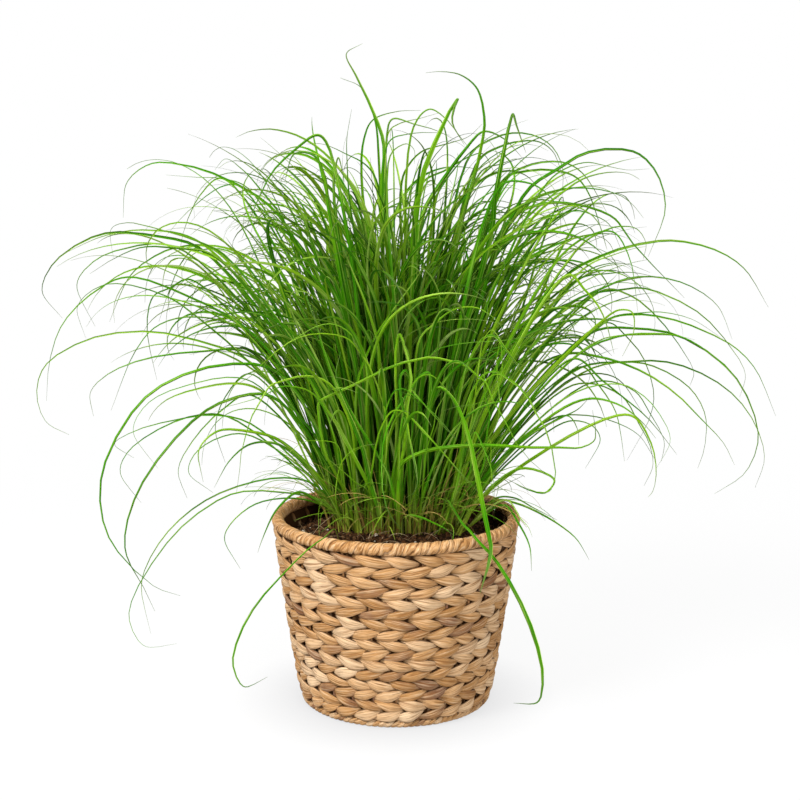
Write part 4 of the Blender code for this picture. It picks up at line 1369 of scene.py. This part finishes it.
def folded_leaves_tree():
    """Leaves along lines: each line's points hold its half width and the way to the leaf's side."""
    graph, given = geometry_tree("folded_leaves", {"Fold": 0.32, "Thickness": 0.07})
    lines = graph.add("GeometryNodeMeshToCurve", sockets={"Mesh": given["Geometry"]})
    lines = graph.add("GeometryNodeSetCurveNormal", {"mode": "FREE"}, {
        "Curve": lines, "Normal": graph.named("side", "FLOAT_VECTOR"),
    })
    section = graph.add("GeometryNodeCurvePrimitiveQuadrilateral", {"mode": "POINTS"}, {
        "Point 1": graph.combine(-1.0, given["Fold"]),
        "Point 2": graph.combine(0.0, 0 - given["Fold"] - given["Thickness"]),
        "Point 3": graph.combine(1.0, given["Fold"]),
        "Point 4": graph.combine(0.0, given["Thickness"] - given["Fold"]),
    })
    across, _, _ = graph.parts(graph.add("GeometryNodeInputPosition"))
    section = graph.store(section, "across", across)
    leaves = graph.add("GeometryNodeCurveToMesh", sockets={
        "Curve": lines, "Profile Curve": section, "Scale": graph.named("half_width"), "Fill Caps": True,
    })
    return finish_tree(graph, leaves, given["Material"])


def crumbs_tree():
    """Lumps of peat scattered over the soil."""
    graph, given = geometry_tree("crumbs", {
        "Density": 40000.0, "Smallest": 0.0004, "Largest": 0.0030, "Roughness": 0.0012, "Seed": 3,
    })
    points = graph.add("GeometryNodeDistributePointsOnFaces", sockets={
        "Mesh": given["Geometry"], "Density": given["Density"], "Seed": given["Seed"],
    })
    lump = graph.add("GeometryNodeMeshIcoSphere", sockets={"Radius": 1.0, "Subdivisions": 2})
    luck = graph.luck(given["Seed"] + 1)
    size = given["Smallest"] + (given["Largest"] - given["Smallest"]) * luck * luck
    shape = graph.luck_vector(given["Seed"] + 2, (0.7, 0.6, 0.45), (1.5, 1.0, 0.9))
    lumps = graph.add("GeometryNodeInstanceOnPoints", sockets={
        "Points": points, "Instance": lump,
        "Rotation": graph.luck_vector(given["Seed"] + 3, (0, 0, 0), (TAU, TAU, TAU)),
        "Scale": graph.vector("MULTIPLY", shape, graph.combine(size, size, size)),
    })
    lumps = graph.store(lumps, "tone", graph.luck(given["Seed"] + 4), "FLOAT", "INSTANCE")
    lumps = graph.add("GeometryNodeRealizeInstances", sockets={"Geometry": lumps})
    spot = graph.add("GeometryNodeInputPosition")
    push = graph.add("ShaderNodeTexNoise", sockets={"Vector": spot, "Scale": 900.0}).out("Color")
    push = graph.vector("SUBTRACT", push, (0.5, 0.5, 0.5))
    rough = given["Roughness"]
    push = graph.vector("MULTIPLY", push, graph.combine(rough, rough, rough))
    lumps = graph.add("GeometryNodeSetPosition", sockets={"Geometry": lumps, "Offset": push})
    return finish_tree(graph, lumps, given["Material"])


# Materials

def new_material(name, roughness, specular=0.5):
    """A material, its graph and its shader."""
    material = bpy.data.materials.new(name)
    material.use_nodes = True
    shader = material.node_tree.nodes["Principled BSDF"]
    shader.inputs["Roughness"].default_value = roughness
    shader.inputs["Specular IOR Level"].default_value = specular
    return material, Graph(material.node_tree), shader


def surface(graph, shader, colour, roughness, relief, strength, distance):
    """Feeds a shader its colour, its roughness and its relief."""
    graph.join(colour, shader.inputs["Base Color"])
    graph.join(roughness, shader.inputs["Roughness"])
    sockets = {"Strength": strength, "Distance": distance, "Height": relief}
    graph.join(graph.add("ShaderNodeBump", sockets=sockets), shader.inputs["Normal"])


def fibre_material(name, basket):
    """Dried plant fibre: long streaks, a tone for each lozenge, and painted shade, brown and then near
    black, where strands dive and along their edges.
    """
    material, graph, shader = new_material(name, 0.6, 0.09)
    grain = graph.attribute("grain", "Vector")
    tone = graph.attribute("tone")
    hidden = graph.attribute("hidden")
    place = graph.add("ShaderNodeTexCoord").out("Object")
    patch = graph.noise(place, 42.0, 2.0)
    colour = graph.ramp(tone * 0.8 + patch * 0.4 - 0.10, (
        (0.08, basket.grey), (0.20, basket.tan), (0.48, basket.golden), (0.95, basket.pale),
    ))
    streak = graph.noise(grain, 1.0, 4.0, 0.62)
    fine = graph.noise(graph.vector("MULTIPLY", grain, (1.3, 2.1, 1.0)), 1.0, 2.0)
    colour = graph.mix(graph.between(streak, 0.49, 0.34) * 0.65, colour, basket.brown)
    colour = graph.mix(graph.between(streak, 0.50, 0.66) * 0.55, colour, basket.pale)
    colour = graph.mix(graph.between(fine, 0.50, 0.32) * 0.7, colour, basket.brown)
    colour = graph.mix(graph.between(fine, 0.54, 0.70) * 0.5, colour, basket.pale)
    # Painted shade: brown, then the near-black shade colour, where strands dive and along their edges
    colour = graph.mix(graph.between(hidden, 0.0, 0.7) * 0.4, colour, basket.brown)
    colour = graph.mix(graph.between(hidden, 0.3, 1.0) * basket.shade, colour, basket.gap)
    surface(graph, shader, colour, 0.8 - streak * 0.35, streak + fine * 0.6, 1.0, 0.0014)
    return material


def leaf_material(leaves):
    """Fresh folded leaves, paler at the root and along the rib, greyer at the hair-thin tip, with painted
    highlights, and painted shade deep in the tuft.
    """
    material, graph, shader = new_material("leaf_green", 0.38, 0.03)
    along, across, tone, dry, root, deep = (
        graph.attribute(name) for name in ("along", "across", "tone", "dry", "root", "deep")
    )
    veins = graph.noise(graph.combine(across * 4.5, along * 3.0, tone * 60), 1.0, 2.0)
    # Tone that varies in patches along each leaf: partly the leaf's own colour, partly painted shade of
    # overlapping leaves
    mottle_and_shade = graph.noise(graph.combine(along * 7.0, tone * 90, 0.0), 1.0, 1.0)
    colour = graph.ramp(tone + mottle_and_shade * 0.6 - 0.31, (
        (0.0, leaves.dark), (0.38, leaves.fresh), (0.72, leaves.bright), (1.0, leaves.pale),
    ))
    colour = graph.mix(graph.between(veins, 0.48, 0.7) * 0.5, colour, leaves.bright)
    colour = graph.mix(graph.between(veins, 0.46, 0.28) * 0.7, colour, leaves.dark)
    # Painted highlights: a pale sheen on stretches of the leaf and on its edges, and on top of the rib's own
    # paler colour
    sheen = graph.noise(graph.combine(along * 5.0, across * 0.8, tone * 130), 1.0, 1.0)
    sheen = graph.between(sheen, 0.48, 0.66)
    rib = graph.between(graph.math("ABSOLUTE", across), 0.22, 0.02)
    colour = graph.mix(rib * (sheen * 0.5 + 0.2), colour, leaves.rib)
    edge = graph.between(graph.math("ABSOLUTE", across), 0.72, 1.0)
    colour = graph.mix(edge * (sheen * 0.65 + 0.1) + sheen * sheen * 0.3, colour, leaves.sheen)
    colour = graph.mix(graph.between(along, 0.84, 1.0) * 0.7, colour, leaves.tip)
    old = graph.between(graph.noise(graph.combine(tone * 150, 0.0, 0.0), 1.0, 0.0), 0.50, 0.58)
    colour = graph.mix(root * 0.8, colour, graph.mix(old, leaves.root, leaves.sheath))
    colour = graph.mix(dry, colour, graph.mix(tone, leaves.sheath, leaves.straw))
    # Painted shade: leaves darken deep inside the tuft and low down
    colour = graph.mix(deep * leaves.shade, colour, leaves.deep)
    surface(graph, shader, colour, 0.28 + veins * 0.2 + dry * 0.3, veins, 0.35, 0.0003)
    return material


def peat_material(soil):
    """Dark crumbly peat with paler fibres and a few pale specks."""
    material, graph, shader = new_material("peat_soil", 0.95, 0.1)
    place = graph.add("ShaderNodeTexCoord").out("Object")
    tone = graph.attribute("tone")
    lumps = graph.noise(place, 260.0, 5.0, 0.65)
    colour = graph.mix(graph.between(lumps, 0.42, 0.66), soil.dark, soil.brown)
    colour = graph.mix(graph.between(tone, 0.55, 0.97) * 0.6, colour, soil.light)
    colour = graph.mix(graph.between(tone, 0.975, 0.985), colour, soil.speck)
    surface(graph, shader, colour, 0.8 + lumps * 0.2, lumps, 1.0, 0.0016)
    return material


def strand_material(soil):
    """Dry root strands, from brown to straw."""
    material, graph, shader = new_material("root_strands", 0.8)
    colour = graph.mix(graph.attribute("tone"), soil.light, soil.straw)
    graph.join(colour, shader.inputs["Base Color"])
    return material


# Pieces

def settled(piece, slot_name, *nodes):
    """Hands a finished piece to the frame: its body, and the nodes that it stands for, which it hides. Its
    slot name is not used.
    """
    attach(piece, "root")
    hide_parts(*nodes)


def outward(mesh):
    """Turns a closed mesh's faces to point out."""
    shape = bmesh.new()
    shape.from_mesh(mesh)
    bmesh.ops.recalc_face_normals(shape, faces=shape.faces)
    shape.to_mesh(mesh)
    shape.free()


def swell_place(height):
    """How far a height is from the foot, 0, to the rim, 1."""
    return (height - FOOT_CORD) / (RIM_HEIGHT - FOOT_CORD)


def piece_of(shape, name, material):
    """A bmesh made into a smooth object at the origin, its faces turned out."""
    mesh = bpy.data.meshes.new(name)
    shape.to_mesh(mesh)
    shape.free()
    outward(mesh)
    mesh.shade_smooth()
    mesh.materials.append(material)
    return placed(name, mesh)


def ring_of(shape, radius, height, spokes):
    """A level ring of corners round the axis."""
    turns = [TAU * spoke / spokes for spoke in range(spokes)]
    return [shape.verts.new((radius * math.cos(turn) * MM, radius * math.sin(turn) * MM, height * MM))
            for turn in turns]


def join_rings(shape, rings):
    """Faces between each ring and the next."""
    for near, far in zip(rings, rings[1:]):
        for i in range(len(near)):
            after = (i + 1) % len(near)
            shape.faces.new((near[i], far[i], far[after], near[after]))


def make_core(basket):
    """The inner strands that close the wall behind the rows, as one turned shell, painted dark as shade."""
    heights = np.linspace(row_height(0), row_height(WEAVE_ROWS), CORE_STEPS)
    outline = [(wall_radius(height) - CORE_INSET + CORE_HALF_THICK, height) for height in heights]
    outline += [(wall_radius(height) - CORE_INSET - CORE_HALF_THICK, height) for height in heights[::-1]]
    shape = bmesh.new()
    rings = [ring_of(shape, radius, height, CORE_SPOKES) for radius, height in outline]
    join_rings(shape, rings + rings[:1])
    material, _, shader = new_material("inner_strands_shade", 0.9, 0.1)
    # The shell is painted near black, as the shade inside the wall
    shader.inputs["Base Color"].default_value = (*basket.core, 1.0)
    return piece_of(shape, "basket_core", material)


def make_weave(basket):
    """The wall's rows in two pieces, its stakes and inner strands, and the floor's rows."""
    material = fibre_material("twined_fibre", basket)
    tree = twined_rows_tree()
    half = WEAVE_ROWS // 2
    for name, first in (("basket_weave_low", 0), ("basket_weave_high", half)):
        low, high = row_height(first), row_height(first + half)
        piece = built(name, tree, {
            "Rows": half, "First Row": first, "Stakes": basket.stakes, "Sides": 20,
            "Start Radius": taper_radius(low) * MM, "Start Height": low * MM,
            "End Radius": taper_radius(high) * MM, "End Height": high * MM,
            "Swell": WALL_SWELL * MM, "Swell From": swell_place(low), "Swell To": swell_place(high),
            "Half Width": basket.strand_width / 2, "Half Thickness": basket.strand_thickness / 2,
            "Depth": basket.weave_depth, "Lift": basket.weave_lift, "Pinch": 0.92,
            "Grain Length": 24.0, "Material": material,
        })
        settled(piece, "twined_fibre", "basket_wall")
    foot, top = row_height(0), row_height(WEAVE_ROWS)
    stakes = built("basket_stakes", stakes_tree(), {
        "Stakes": basket.stakes, "Foot Radius": taper_radius(foot) * MM, "Foot Height": foot * MM,
        "Top Radius": taper_radius(top) * MM, "Top Height": top * MM, "Stake Radius": 1.1 * MM,
        "Swell": WALL_SWELL * MM, "Material": material,
    })
    settled(stakes, "twined_fibre", "basket_wall")
    settled(make_core(basket), "twined_fibre", "basket_wall")
    floor = built("basket_floor_weave", tree, {
        "Rows": 8, "Stakes": 24, "Start Radius": 6 * MM, "Start Height": FLOOR_THICK / 2 * MM,
        "End Radius": FLOOR_RADIUS * MM, "End Height": FLOOR_THICK / 2 * MM,
        "Half Width": 4.6 * MM, "Half Thickness": 1.5 * MM, "Depth": 1.4 * MM, "Lift": 2.2 * MM,
        "Pinch": 0.8, "Steps": 216, "Sides": 8, "Material": material,
    })
    settled(floor, "twined_fibre", "basket_floor")


def make_edges(basket):
    """The wound rim and the two-ply cord at the foot."""
    material = fibre_material("wrapped_cord", basket)
    rim = built("wrapped_rim", wrapped_ring_tree(), {
        "Radius": RIM_RADIUS * MM, "Cord": RIM_CORD * MM, "Height": RIM_HEIGHT * MM,
        "Turns": basket.rim_turns, "Material": material,
    })
    settled(rim, "wrapped_cord", "rim_wrap")
    ply = FOOT_CORD * MM * PLY_SHARE
    apart = FOOT_CORD * MM - ply
    foot = built("twisted_foot", twined_rows_tree(), {
        "Rows": 1, "Stakes": 96, "Start Radius": FOOT_RADIUS * MM, "Start Height": 0.0,
        "End Radius": FOOT_RADIUS * MM, "End Height": 2 * FOOT_CORD * MM,
        "Half Width": ply, "Half Thickness": ply, "Depth": apart, "Lift": apart, "Pinch": 0.0,
        "Unevenness": 0.3, "Steps": 768, "Sides": 10, "Grain Length": 60.0, "Material": material,
    })
    settled(foot, "wrapped_cord", "foot_cord")


def lumpy_ring(shape, reach, lumpiness):
    """A ring of corners on the soil, which rises and sinks in lumps."""
    ring = []
    for spoke in range(BED_SPOKES):
        turn = TAU * spoke / BED_SPOKES
        spot = Vector((reach * math.cos(turn), reach * math.sin(turn), 0.0))
        lump = LUMP_HEIGHT * noise.fractal(spot * LUMP_FINENESS, 0.9, 2.2, 4)
        lump += GRIT_HEIGHT * noise.noise(spot * GRIT_FINENESS)
        height = soil_height(reach) - BED_SUNK + lump * lumpiness
        ring.append(shape.verts.new((spot.x * MM, spot.y * MM, height * MM)))
    return ring


def make_bed(material):
    """The body of the soil: a lumpy top, and plain sides inside the basket's wall."""
    edge = taper_radius(SOIL_EDGE_HEIGHT) - WALL_INSIDE - GAP - BED_CLEAR
    foot = taper_radius(row_height(0)) - WALL_INSIDE - GAP - BED_CLEAR
    shape = bmesh.new()
    middle = shape.verts.new((0, 0, soil_height(0) * MM))
    rings = [lumpy_ring(shape, edge * ring / BED_RINGS, 1 if ring < BED_RINGS else EDGE_LUMPINESS)
             for ring in range(1, BED_RINGS + 1)]
    rings.append(ring_of(shape, foot, row_height(0), BED_SPOKES))
    rings.append(ring_of(shape, FLOOR_RADIUS, FLOOR_THICK + GAP, BED_SPOKES))
    join_rings(shape, rings)
    first = rings[0]
    for near, after in zip(first, first[1:] + first[:1]):
        shape.faces.new((middle, near, after))
    shape.faces.new(rings[-1][::-1])
    return piece_of(shape, "peat_bed", material)


def upper_faces(bed):
    """A mesh of the bed's top alone, for the crumbs to lie on."""
    shape = bmesh.new()
    shape.from_mesh(bed.data)
    sunk = [face for face in shape.faces
            if face.normal.z < CRUMB_SLOPE or face.calc_center_median().z < CRUMB_FLOOR * MM]
    bmesh.ops.delete(shape, geom=sunk, context="FACES")
    top = bpy.data.meshes.new("peat_top")
    shape.to_mesh(top)
    shape.free()
    return top


def make_soil(soil):
    """The peat bed, its crumbs and the dry root strands on it."""
    material = peat_material(soil)
    bed = make_bed(material)
    values = {"Density": soil.crumbs, "Material": material}
    crumbs = built("peat_crumbs", crumbs_tree(), values, upper_faces(bed))
    chance = random.Random(FILLER_SEED + 1)
    lines = leaf_lines("soil_strands", strand_blades(chance))
    strands = built("soil_strands", folded_leaves_tree(), {"Material": strand_material(soil)}, lines)
    outward(strands.data)
    for piece in (bed, crumbs, strands):
        settled(piece, "peat_soil", "soil")


def blade_sides(points, share, twist, facing):
    """The way to a leaf's side at each point: level at the root, turned to the front by facing."""
    out = points[-1] - points[0]
    level = unit(np.cross((0.0, 0.0, 1.0), (out[0] + 1e-6, out[1], 0.0)))
    before, sides = level, []
    for point, way, part in zip(points, np.gradient(points, axis=0), share):
        way = unit(way)
        level = unit(level - way * np.dot(level, way))
        seen = unit(np.cross(point - EYE, way))
        seen = seen if np.dot(seen, before) > 0 else -seen
        side = level * (1 - facing) + seen * facing
        before = unit(side - way * np.dot(side, way))
        angle = twist * (ROOT_TWIST + (1 - ROOT_TWIST) * part)
        sides.append(before * math.cos(angle) + np.cross(way, before) * math.sin(angle))
    return sides


# This depth is the mask for the painted shade on leaves inside the tuft
def depth_in_tuft(points):
    """How deep points stand in the tuft: 0 on its skin and high up, 1 in its heart near the soil."""
    height = points[:, 2] - SOIL_EDGE_HEIGHT
    across = points[:, 0] / (TUFT_WIDTH + TUFT_SPREAD * height)
    behind = (points[:, 1] - TUFT_BACK) / (TUFT_DEPTH + TUFT_SPREAD * height)
    inner = np.clip(TUFT_SKIN_FADE * (TUFT_SKIN - np.hypot(across, behind)), 0, 1)
    return inner * np.clip(1 - height / TUFT_SHADE_HEIGHT, 0, 1)


def half_widths(blade, points, share, length):
    """Half a leaf's width at each point: a slim stalk opens into the blade, which thins to a hair."""
    if blade.blunt:
        return blade.width / 2 * (1 - share**3) + HAIR_HALF_WIDTH / 2
    top = points[:, 2].max()
    way = np.gradient(points, axis=0)
    upright = np.clip(way[:, 2] / np.linalg.norm(way, axis=1), 0, 1) ** 3
    stalk = np.clip(1 - share * length / STALK_LENGTH, 0, 1) * min(blade.width / FULL_STALK_WIDTH, 1.0)
    stalk = stalk * upright
    half = np.maximum(blade.width / 2 * (1 - share**blade.taper), HAIR_HALF_WIDTH)
    if hangs(points):
        half *= np.interp(share, *HANGING_WIDTHS)
        stalk = stalk * 0
    half = half * (1 - stalk) + np.interp(top, *STALK_HALF_WIDTHS) * stalk
    if top < LOW_LEAF:
        half *= np.interp(share * length, *LOW_LEAF_WIDTHS)
    half[-1] = HAIR_HALF_WIDTH / 2
    return half


def leaf_lines(name, blades):
    """One mesh of lines, a line for each leaf, with what the leaf needs kept on its points."""
    corners, edges, sides = [], [], []
    kept = {key: [] for key in ("half_width", "tone", "dry", "root", "along", "deep")}
    for blade in blades:
        count = BLUNT_LINE_POINTS if blade.blunt else LINE_POINTS
        points = line_points(blade.path, count)
        share = travelled(points)
        length = np.linalg.norm(np.diff(points, axis=0), axis=1).sum()
        low = np.clip(1 - (points[:, 2] - SOIL_EDGE_HEIGHT) / PALE_ROOT_HEIGHT, 0, 1) ** 1.3
        first = len(corners)
        corners += list(points * MM)
        edges += [(first + number, first + number + 1) for number in range(count - 1)]
        sides += blade_sides(points, share, blade.twist, blade.facing)
        kept["half_width"] += list(half_widths(blade, points, share, length) * MM)
        kept["tone"] += [blade.tone] * count
        kept["dry"] += [blade.dry] * count
        kept["root"] += list(low * np.clip(1 - share * length / STALK_LENGTH, 0, 1) ** 0.5)
        kept["along"] += list(share)
        # deep is the mask of painted shade inside the tuft
        kept["deep"] += list(depth_in_tuft(points))
    mesh = bpy.data.meshes.new(f"{name}_lines")
    mesh.from_pydata(corners, edges, [])
    for key, values in kept.items():
        mesh.attributes.new(key, "FLOAT", "POINT").data.foreach_set("value", values)
    mesh.attributes.new("side", "FLOAT_VECTOR", "POINT").data.foreach_set("vector", np.array(sides).ravel())
    return mesh


def make_shoots(leaves):
    """Every shoot's leaves, one piece for each shoot."""
    material = leaf_material(leaves)
    tree = folded_leaves_tree()
    for number, blades in enumerate(plan_blades(), start=1):
        name = f"shoot_{number:02d}"
        piece = built(f"leaves_{number:02d}", tree, {"Fold": leaves.fold, "Material": material},
                      leaf_lines(name, blades))
        outward(piece.data)
        piece.data.set_sharp_from_angle(angle=math.radians(SHARP_EDGE))
        settled(piece, "leaf_green", name)


def make_floor(stage):
    """A wide floor that glows near the basket, a little less right under its edge as a painted contact
    shadow, and fades to white.
    """
    material, graph, shader = new_material("studio_floor", 0.9, 0.0)
    away = graph.vector("LENGTH", graph.add("ShaderNodeTexCoord").out("Object")).out("Value")
    far_off = graph.between(away, *FLOOR_FADE)
    graph.join(graph.mix(far_off, stage.floor, (0.0, 0.0, 0.0)), shader.inputs["Base Color"])
    # Painted contact shadow: occlusion dims the glow right under the basket's edge
    open_sky = graph.add("ShaderNodeAmbientOcclusion", {"samples": 8}, {"Distance": CONTACT_SHADOW_REACH}).out("AO")
    near = graph.mix(open_sky, stage.contact_shadow, stage.glow)
    seen = graph.mix(far_off, near, (1.0, 1.0, 1.0))
    on_camera = graph.add("ShaderNodeLightPath").out("Is Camera Ray")
    graph.join(graph.mix(on_camera, stage.bounce, seen), shader.inputs["Emission Color"])
    shader.inputs["Emission Strength"].default_value = 1.0
    mesh = bpy.data.meshes.new("studio_floor")
    far = FLOOR_REACH
    mesh.from_pydata([(-far, -far, 0), (far, -far, 0), (far, far, 0), (-far, far, 0)], [], [(0, 1, 2, 3)])
    mesh.materials.append(material)
    floor = placed("studio_floor", mesh)


def make_world(stage):
    """White all round to the camera, and a dimmer light on the plant."""
    world = bpy.data.worlds.new("studio")
    world.use_nodes = True
    graph = Graph(world.node_tree)
    seen = graph.add("ShaderNodeLightPath").out("Is Camera Ray")
    sky = world.node_tree.nodes["Background"]
    sky.inputs["Color"].default_value = (1.0, 1.0, 1.0, 1.0)
    graph.join(graph.mix_number(seen, stage.ambient, 1.0), sky.inputs["Strength"])
    bpy.context.scene.world = world


def make_lights(stage):
    """Square lamps, each with its place and size in metres and its power, all aimed at one spot."""
    for name, at, size, power in (
        ("key_light", (-1.5, -1.3, 2.0), 0.9, stage.key),
        ("fill_light", (0.9, -2.1, 0.8), 1.2, stage.fill),
        ("top_light", (0.2, 0.5, 2.4), 1.6, stage.top),
    ):
        lamp = bpy.data.lights.new(name, "AREA")
        lamp.size = size
        lamp.energy = power
        thing = placed(name, lamp)
        thing.location = at
        thing.rotation_euler = (Vector(LIGHTS_AIM) - Vector(at)).to_track_quat("-Z", "Y").to_euler()


def make_camera():
    """The camera at the eye point, looking a little down."""
    camera = bpy.data.cameras.new("camera")
    camera.lens = LENS
    camera.sensor_width = SENSOR
    camera.shift_x = FRAME_SHIFT
    eye = placed("camera", camera)
    eye.location = Vector(EYE * MM)
    eye.rotation_euler = (math.radians(90 - EYE_PITCH), 0, 0)
    bpy.context.scene.camera = eye
    bpy.context.scene.view_settings.view_transform = "Standard"


def make_stage(stage):
    """The floor, the light all round, the lamps and the camera."""
    make_floor(stage)
    make_world(stage)
    make_lights(stage)
    make_camera()


# Settings

def measure(name, description, default):
    """A length in metres."""
    return FloatProperty(name=name, description=description, default=default, min=0.0, unit="LENGTH")


def fraction(name, description, default):
    """A share from 0 to 1."""
    return FloatProperty(name=name, description=description, default=default, min=0.0, max=1.0)


def wattage(name, description, default):
    """A lamp's power."""
    return FloatProperty(name=name, description=description, default=default, min=0.0, unit="POWER")


def tally(name, description, default):
    """A whole number."""
    return IntProperty(name=name, description=description, default=default, min=8)


def tint(name, description, default):
    """A colour."""
    return FloatVectorProperty(name=name, description=description, default=default, size=3,
                               min=0.0, max=1.0, subtype="COLOR")


class SedgeBasket(bpy.types.PropertyGroup):
    """Sizes and colours of the twined basket."""

    stakes: tally("Stakes", "Upright stakes round the wall, an even number", 28)
    rim_turns: tally("Rim Turns", "Turns of the strip round the rim", 96)
    strand_width: measure("Strand Width", "Width of a strand in front of a stake", 0.0098)
    strand_thickness: measure("Strand Thickness", "Thickness of a strand", 0.0038)
    weave_depth: measure("Weave Depth", "How far a strand passes in front of the wall's middle", 0.0020)
    weave_lift: measure("Weave Lift", "How far a strand rises and falls in its row", 0.0037)
    # How far the painted shade goes towards its near-black colour where strands dive
    shade: fraction("Shade", "How dark strands turn where they dive", 0.95)
    golden: tint("Golden", "The commonest colour of the fibre", (0.66, 0.36, 0.145))
    tan: tint("Tan", "A duller lozenge", (0.50, 0.25, 0.085))
    pale: tint("Pale", "The brightest fibres", (0.87, 0.62, 0.38))
    grey: tint("Grey", "A weathered lozenge", (0.27, 0.135, 0.075))
    # Brown colours the fibre's own dark streaks and also the first, brown step of the painted shade
    brown: tint("Brown", "Dark streaks in the fibre", (0.26, 0.105, 0.03))
    # The near-black colour of the painted shade where strands dive behind others
    gap: tint("Gap", "Where strands dive behind others", (0.018, 0.005, 0.001))
    # The inner strands' colour, painted near black as the shade inside the wall
    core: tint("Core", "The strands inside the wall", (0.045, 0.017, 0.005))


class SedgeSoil(bpy.types.PropertyGroup):
    """Grain and colours of the soil."""

    crumbs: FloatProperty(name="Crumbs", description="Crumbs to a square metre", default=62000.0, min=0.0)
    dark: tint("Dark", "Wet peat between the lumps", (0.018, 0.008, 0.003))
    brown: tint("Brown", "The lumps", (0.13, 0.055, 0.02))
    light: tint("Light", "Dry crumbs", (0.22, 0.115, 0.05))
    speck: tint("Speck", "Pale specks", (0.62, 0.55, 0.45))
    straw: tint("Straw", "The palest root strands", (0.52, 0.40, 0.24))


class SedgeLeaves(bpy.types.PropertyGroup):
    """Form and colours of the leaves."""

    fold: fraction("Fold", "Depth of the fold for each half width", 0.34)
    # Shade and Deep set the painted shade on leaves inside the tuft
    shade: fraction("Shade", "How dark leaves turn deep in the tuft", 0.9)
    deep: tint("Deep", "Leaves deep in the tuft", (0.001, 0.024, 0.0))
    dark: tint("Dark", "The darkest leaves", (0.005, 0.064, 0.0))
    fresh: tint("Fresh", "The commonest leaves", (0.033, 0.230, 0.0))
    bright: tint("Bright", "Bright leaves", (0.195, 0.385, 0.008))
    pale: tint("Pale", "The palest leaves", (0.38, 0.56, 0.14))
    # Rib is partly the rib's own paler colour and partly painted highlight; Sheen is the colour of the
    # painted highlights
    rib: tint("Rib", "The pale middle rib", (0.26, 0.47, 0.06))
    sheen: tint("Sheen", "Stretches that shine", (0.45, 0.66, 0.10))
    root: tint("Root", "Where a leaf leaves the soil", (0.40, 0.42, 0.05))
    tip: tint("Tip", "The hair-thin tip", (0.10, 0.13, 0.05))
    straw: tint("Straw", "A dry leaf", (0.45, 0.28, 0.08))
    sheath: tint("Sheath", "An old brown sheath", (0.10, 0.035, 0.01))


class SedgeStage(bpy.types.PropertyGroup):
    """The floor and the studio light."""

    floor: tint("Floor", "Colour of the floor", (0.07, 0.07, 0.07))
    bounce: tint("Bounce", "What the floor sends back to the leaves and the basket", (0.45, 0.45, 0.45))
    glow: tint("Glow", "What the floor gives of its own near the basket", (0.91, 0.91, 0.91))
    # The glow of the painted contact shadow right under the basket's edge
    contact_shadow: tint("Contact", "The floor's glow right under the basket's edge", (0.64, 0.64, 0.65))
    ambient: fraction("Ambient", "Strength of the light from all round", 0.22)
    key: wattage("Key", "The main light from the upper left", 84.0)
    fill: wattage("Fill", "The soft light from the front right", 34.0)
    top: wattage("Top", "The light from above", 32.0)


# Operators

class SEDGE_OT_stage(bpy.types.Operator):
    """Makes the floor, the lights and the camera"""

    bl_idname = "sedge.stage"
    bl_label = "Stage"

    def execute(self, context):
        make_stage(context.scene.sedge_stage)
        return {"FINISHED"}


class SEDGE_OT_weave(bpy.types.Operator):
    """Twines the basket's wall and floor round their stakes"""

    bl_idname = "sedge.weave"
    bl_label = "Basket Weave"

    def execute(self, context):
        make_weave(context.scene.sedge_basket)
        return {"FINISHED"}


class SEDGE_OT_edges(bpy.types.Operator):
    """Wraps the rim and twists the cord at the foot"""

    bl_idname = "sedge.edges"
    bl_label = "Basket Edges"

    def execute(self, context):
        make_edges(context.scene.sedge_basket)
        return {"FINISHED"}


class SEDGE_OT_soil(bpy.types.Operator):
    """Fills the basket with peat and its crumbs"""

    bl_idname = "sedge.soil"
    bl_label = "Soil"

    def execute(self, context):
        make_soil(context.scene.sedge_soil)
        return {"FINISHED"}


class SEDGE_OT_shoots(bpy.types.Operator):
    """Grows every shoot's leaves along their lines"""

    bl_idname = "sedge.shoots"
    bl_label = "Shoots"

    def execute(self, context):
        make_shoots(context.scene.sedge_leaves)
        return {"FINISHED"}


class SEDGE_PT_panel(bpy.types.Panel):
    """Lists the pieces and their settings"""

    bl_label = "Potted Umbrella Sedge"
    bl_idname = "SEDGE_PT_panel"
    bl_space_type = "VIEW_3D"
    bl_region_type = "UI"
    bl_category = "Sedge"

    def draw(self, context):
        for operators, group in PANEL_ROWS:
            box = self.layout.box()
            for operator in operators:
                box.operator(operator.bl_idname)
            settings = getattr(context.scene, group)
            for name in settings.__annotations__:
                box.prop(settings, name)


PANEL_ROWS = (
    ((SEDGE_OT_weave, SEDGE_OT_edges), "sedge_basket"),
    ((SEDGE_OT_soil,), "sedge_soil"),
    ((SEDGE_OT_shoots,), "sedge_leaves"),
    ((SEDGE_OT_stage,), "sedge_stage"),
)
GROUPS = {
    "sedge_basket": SedgeBasket,
    "sedge_soil": SedgeSoil,
    "sedge_leaves": SedgeLeaves,
    "sedge_stage": SedgeStage,
}
CLASSES = (
    *GROUPS.values(), SEDGE_OT_stage, SEDGE_OT_weave, SEDGE_OT_edges, SEDGE_OT_soil, SEDGE_OT_shoots,
    SEDGE_PT_panel,
)


def register():
    """Makes the classes and the scene's settings known."""
    for made in CLASSES:
        bpy.utils.register_class(made)
    for name, group in GROUPS.items():
        setattr(bpy.types.Scene, name, PointerProperty(type=group))


def unregister():
    """Takes them away again."""
    for name in GROUPS:
        delattr(bpy.types.Scene, name)
    for made in reversed(CLASSES):
        bpy.utils.unregister_class(made)


def main():
    """Makes every piece."""
    register()
    bpy.ops.sedge.stage()
    bpy.ops.sedge.weave()
    bpy.ops.sedge.edges()
    bpy.ops.sedge.soil()
    bpy.ops.sedge.shoots()


if __name__ == "__main__":
    main()
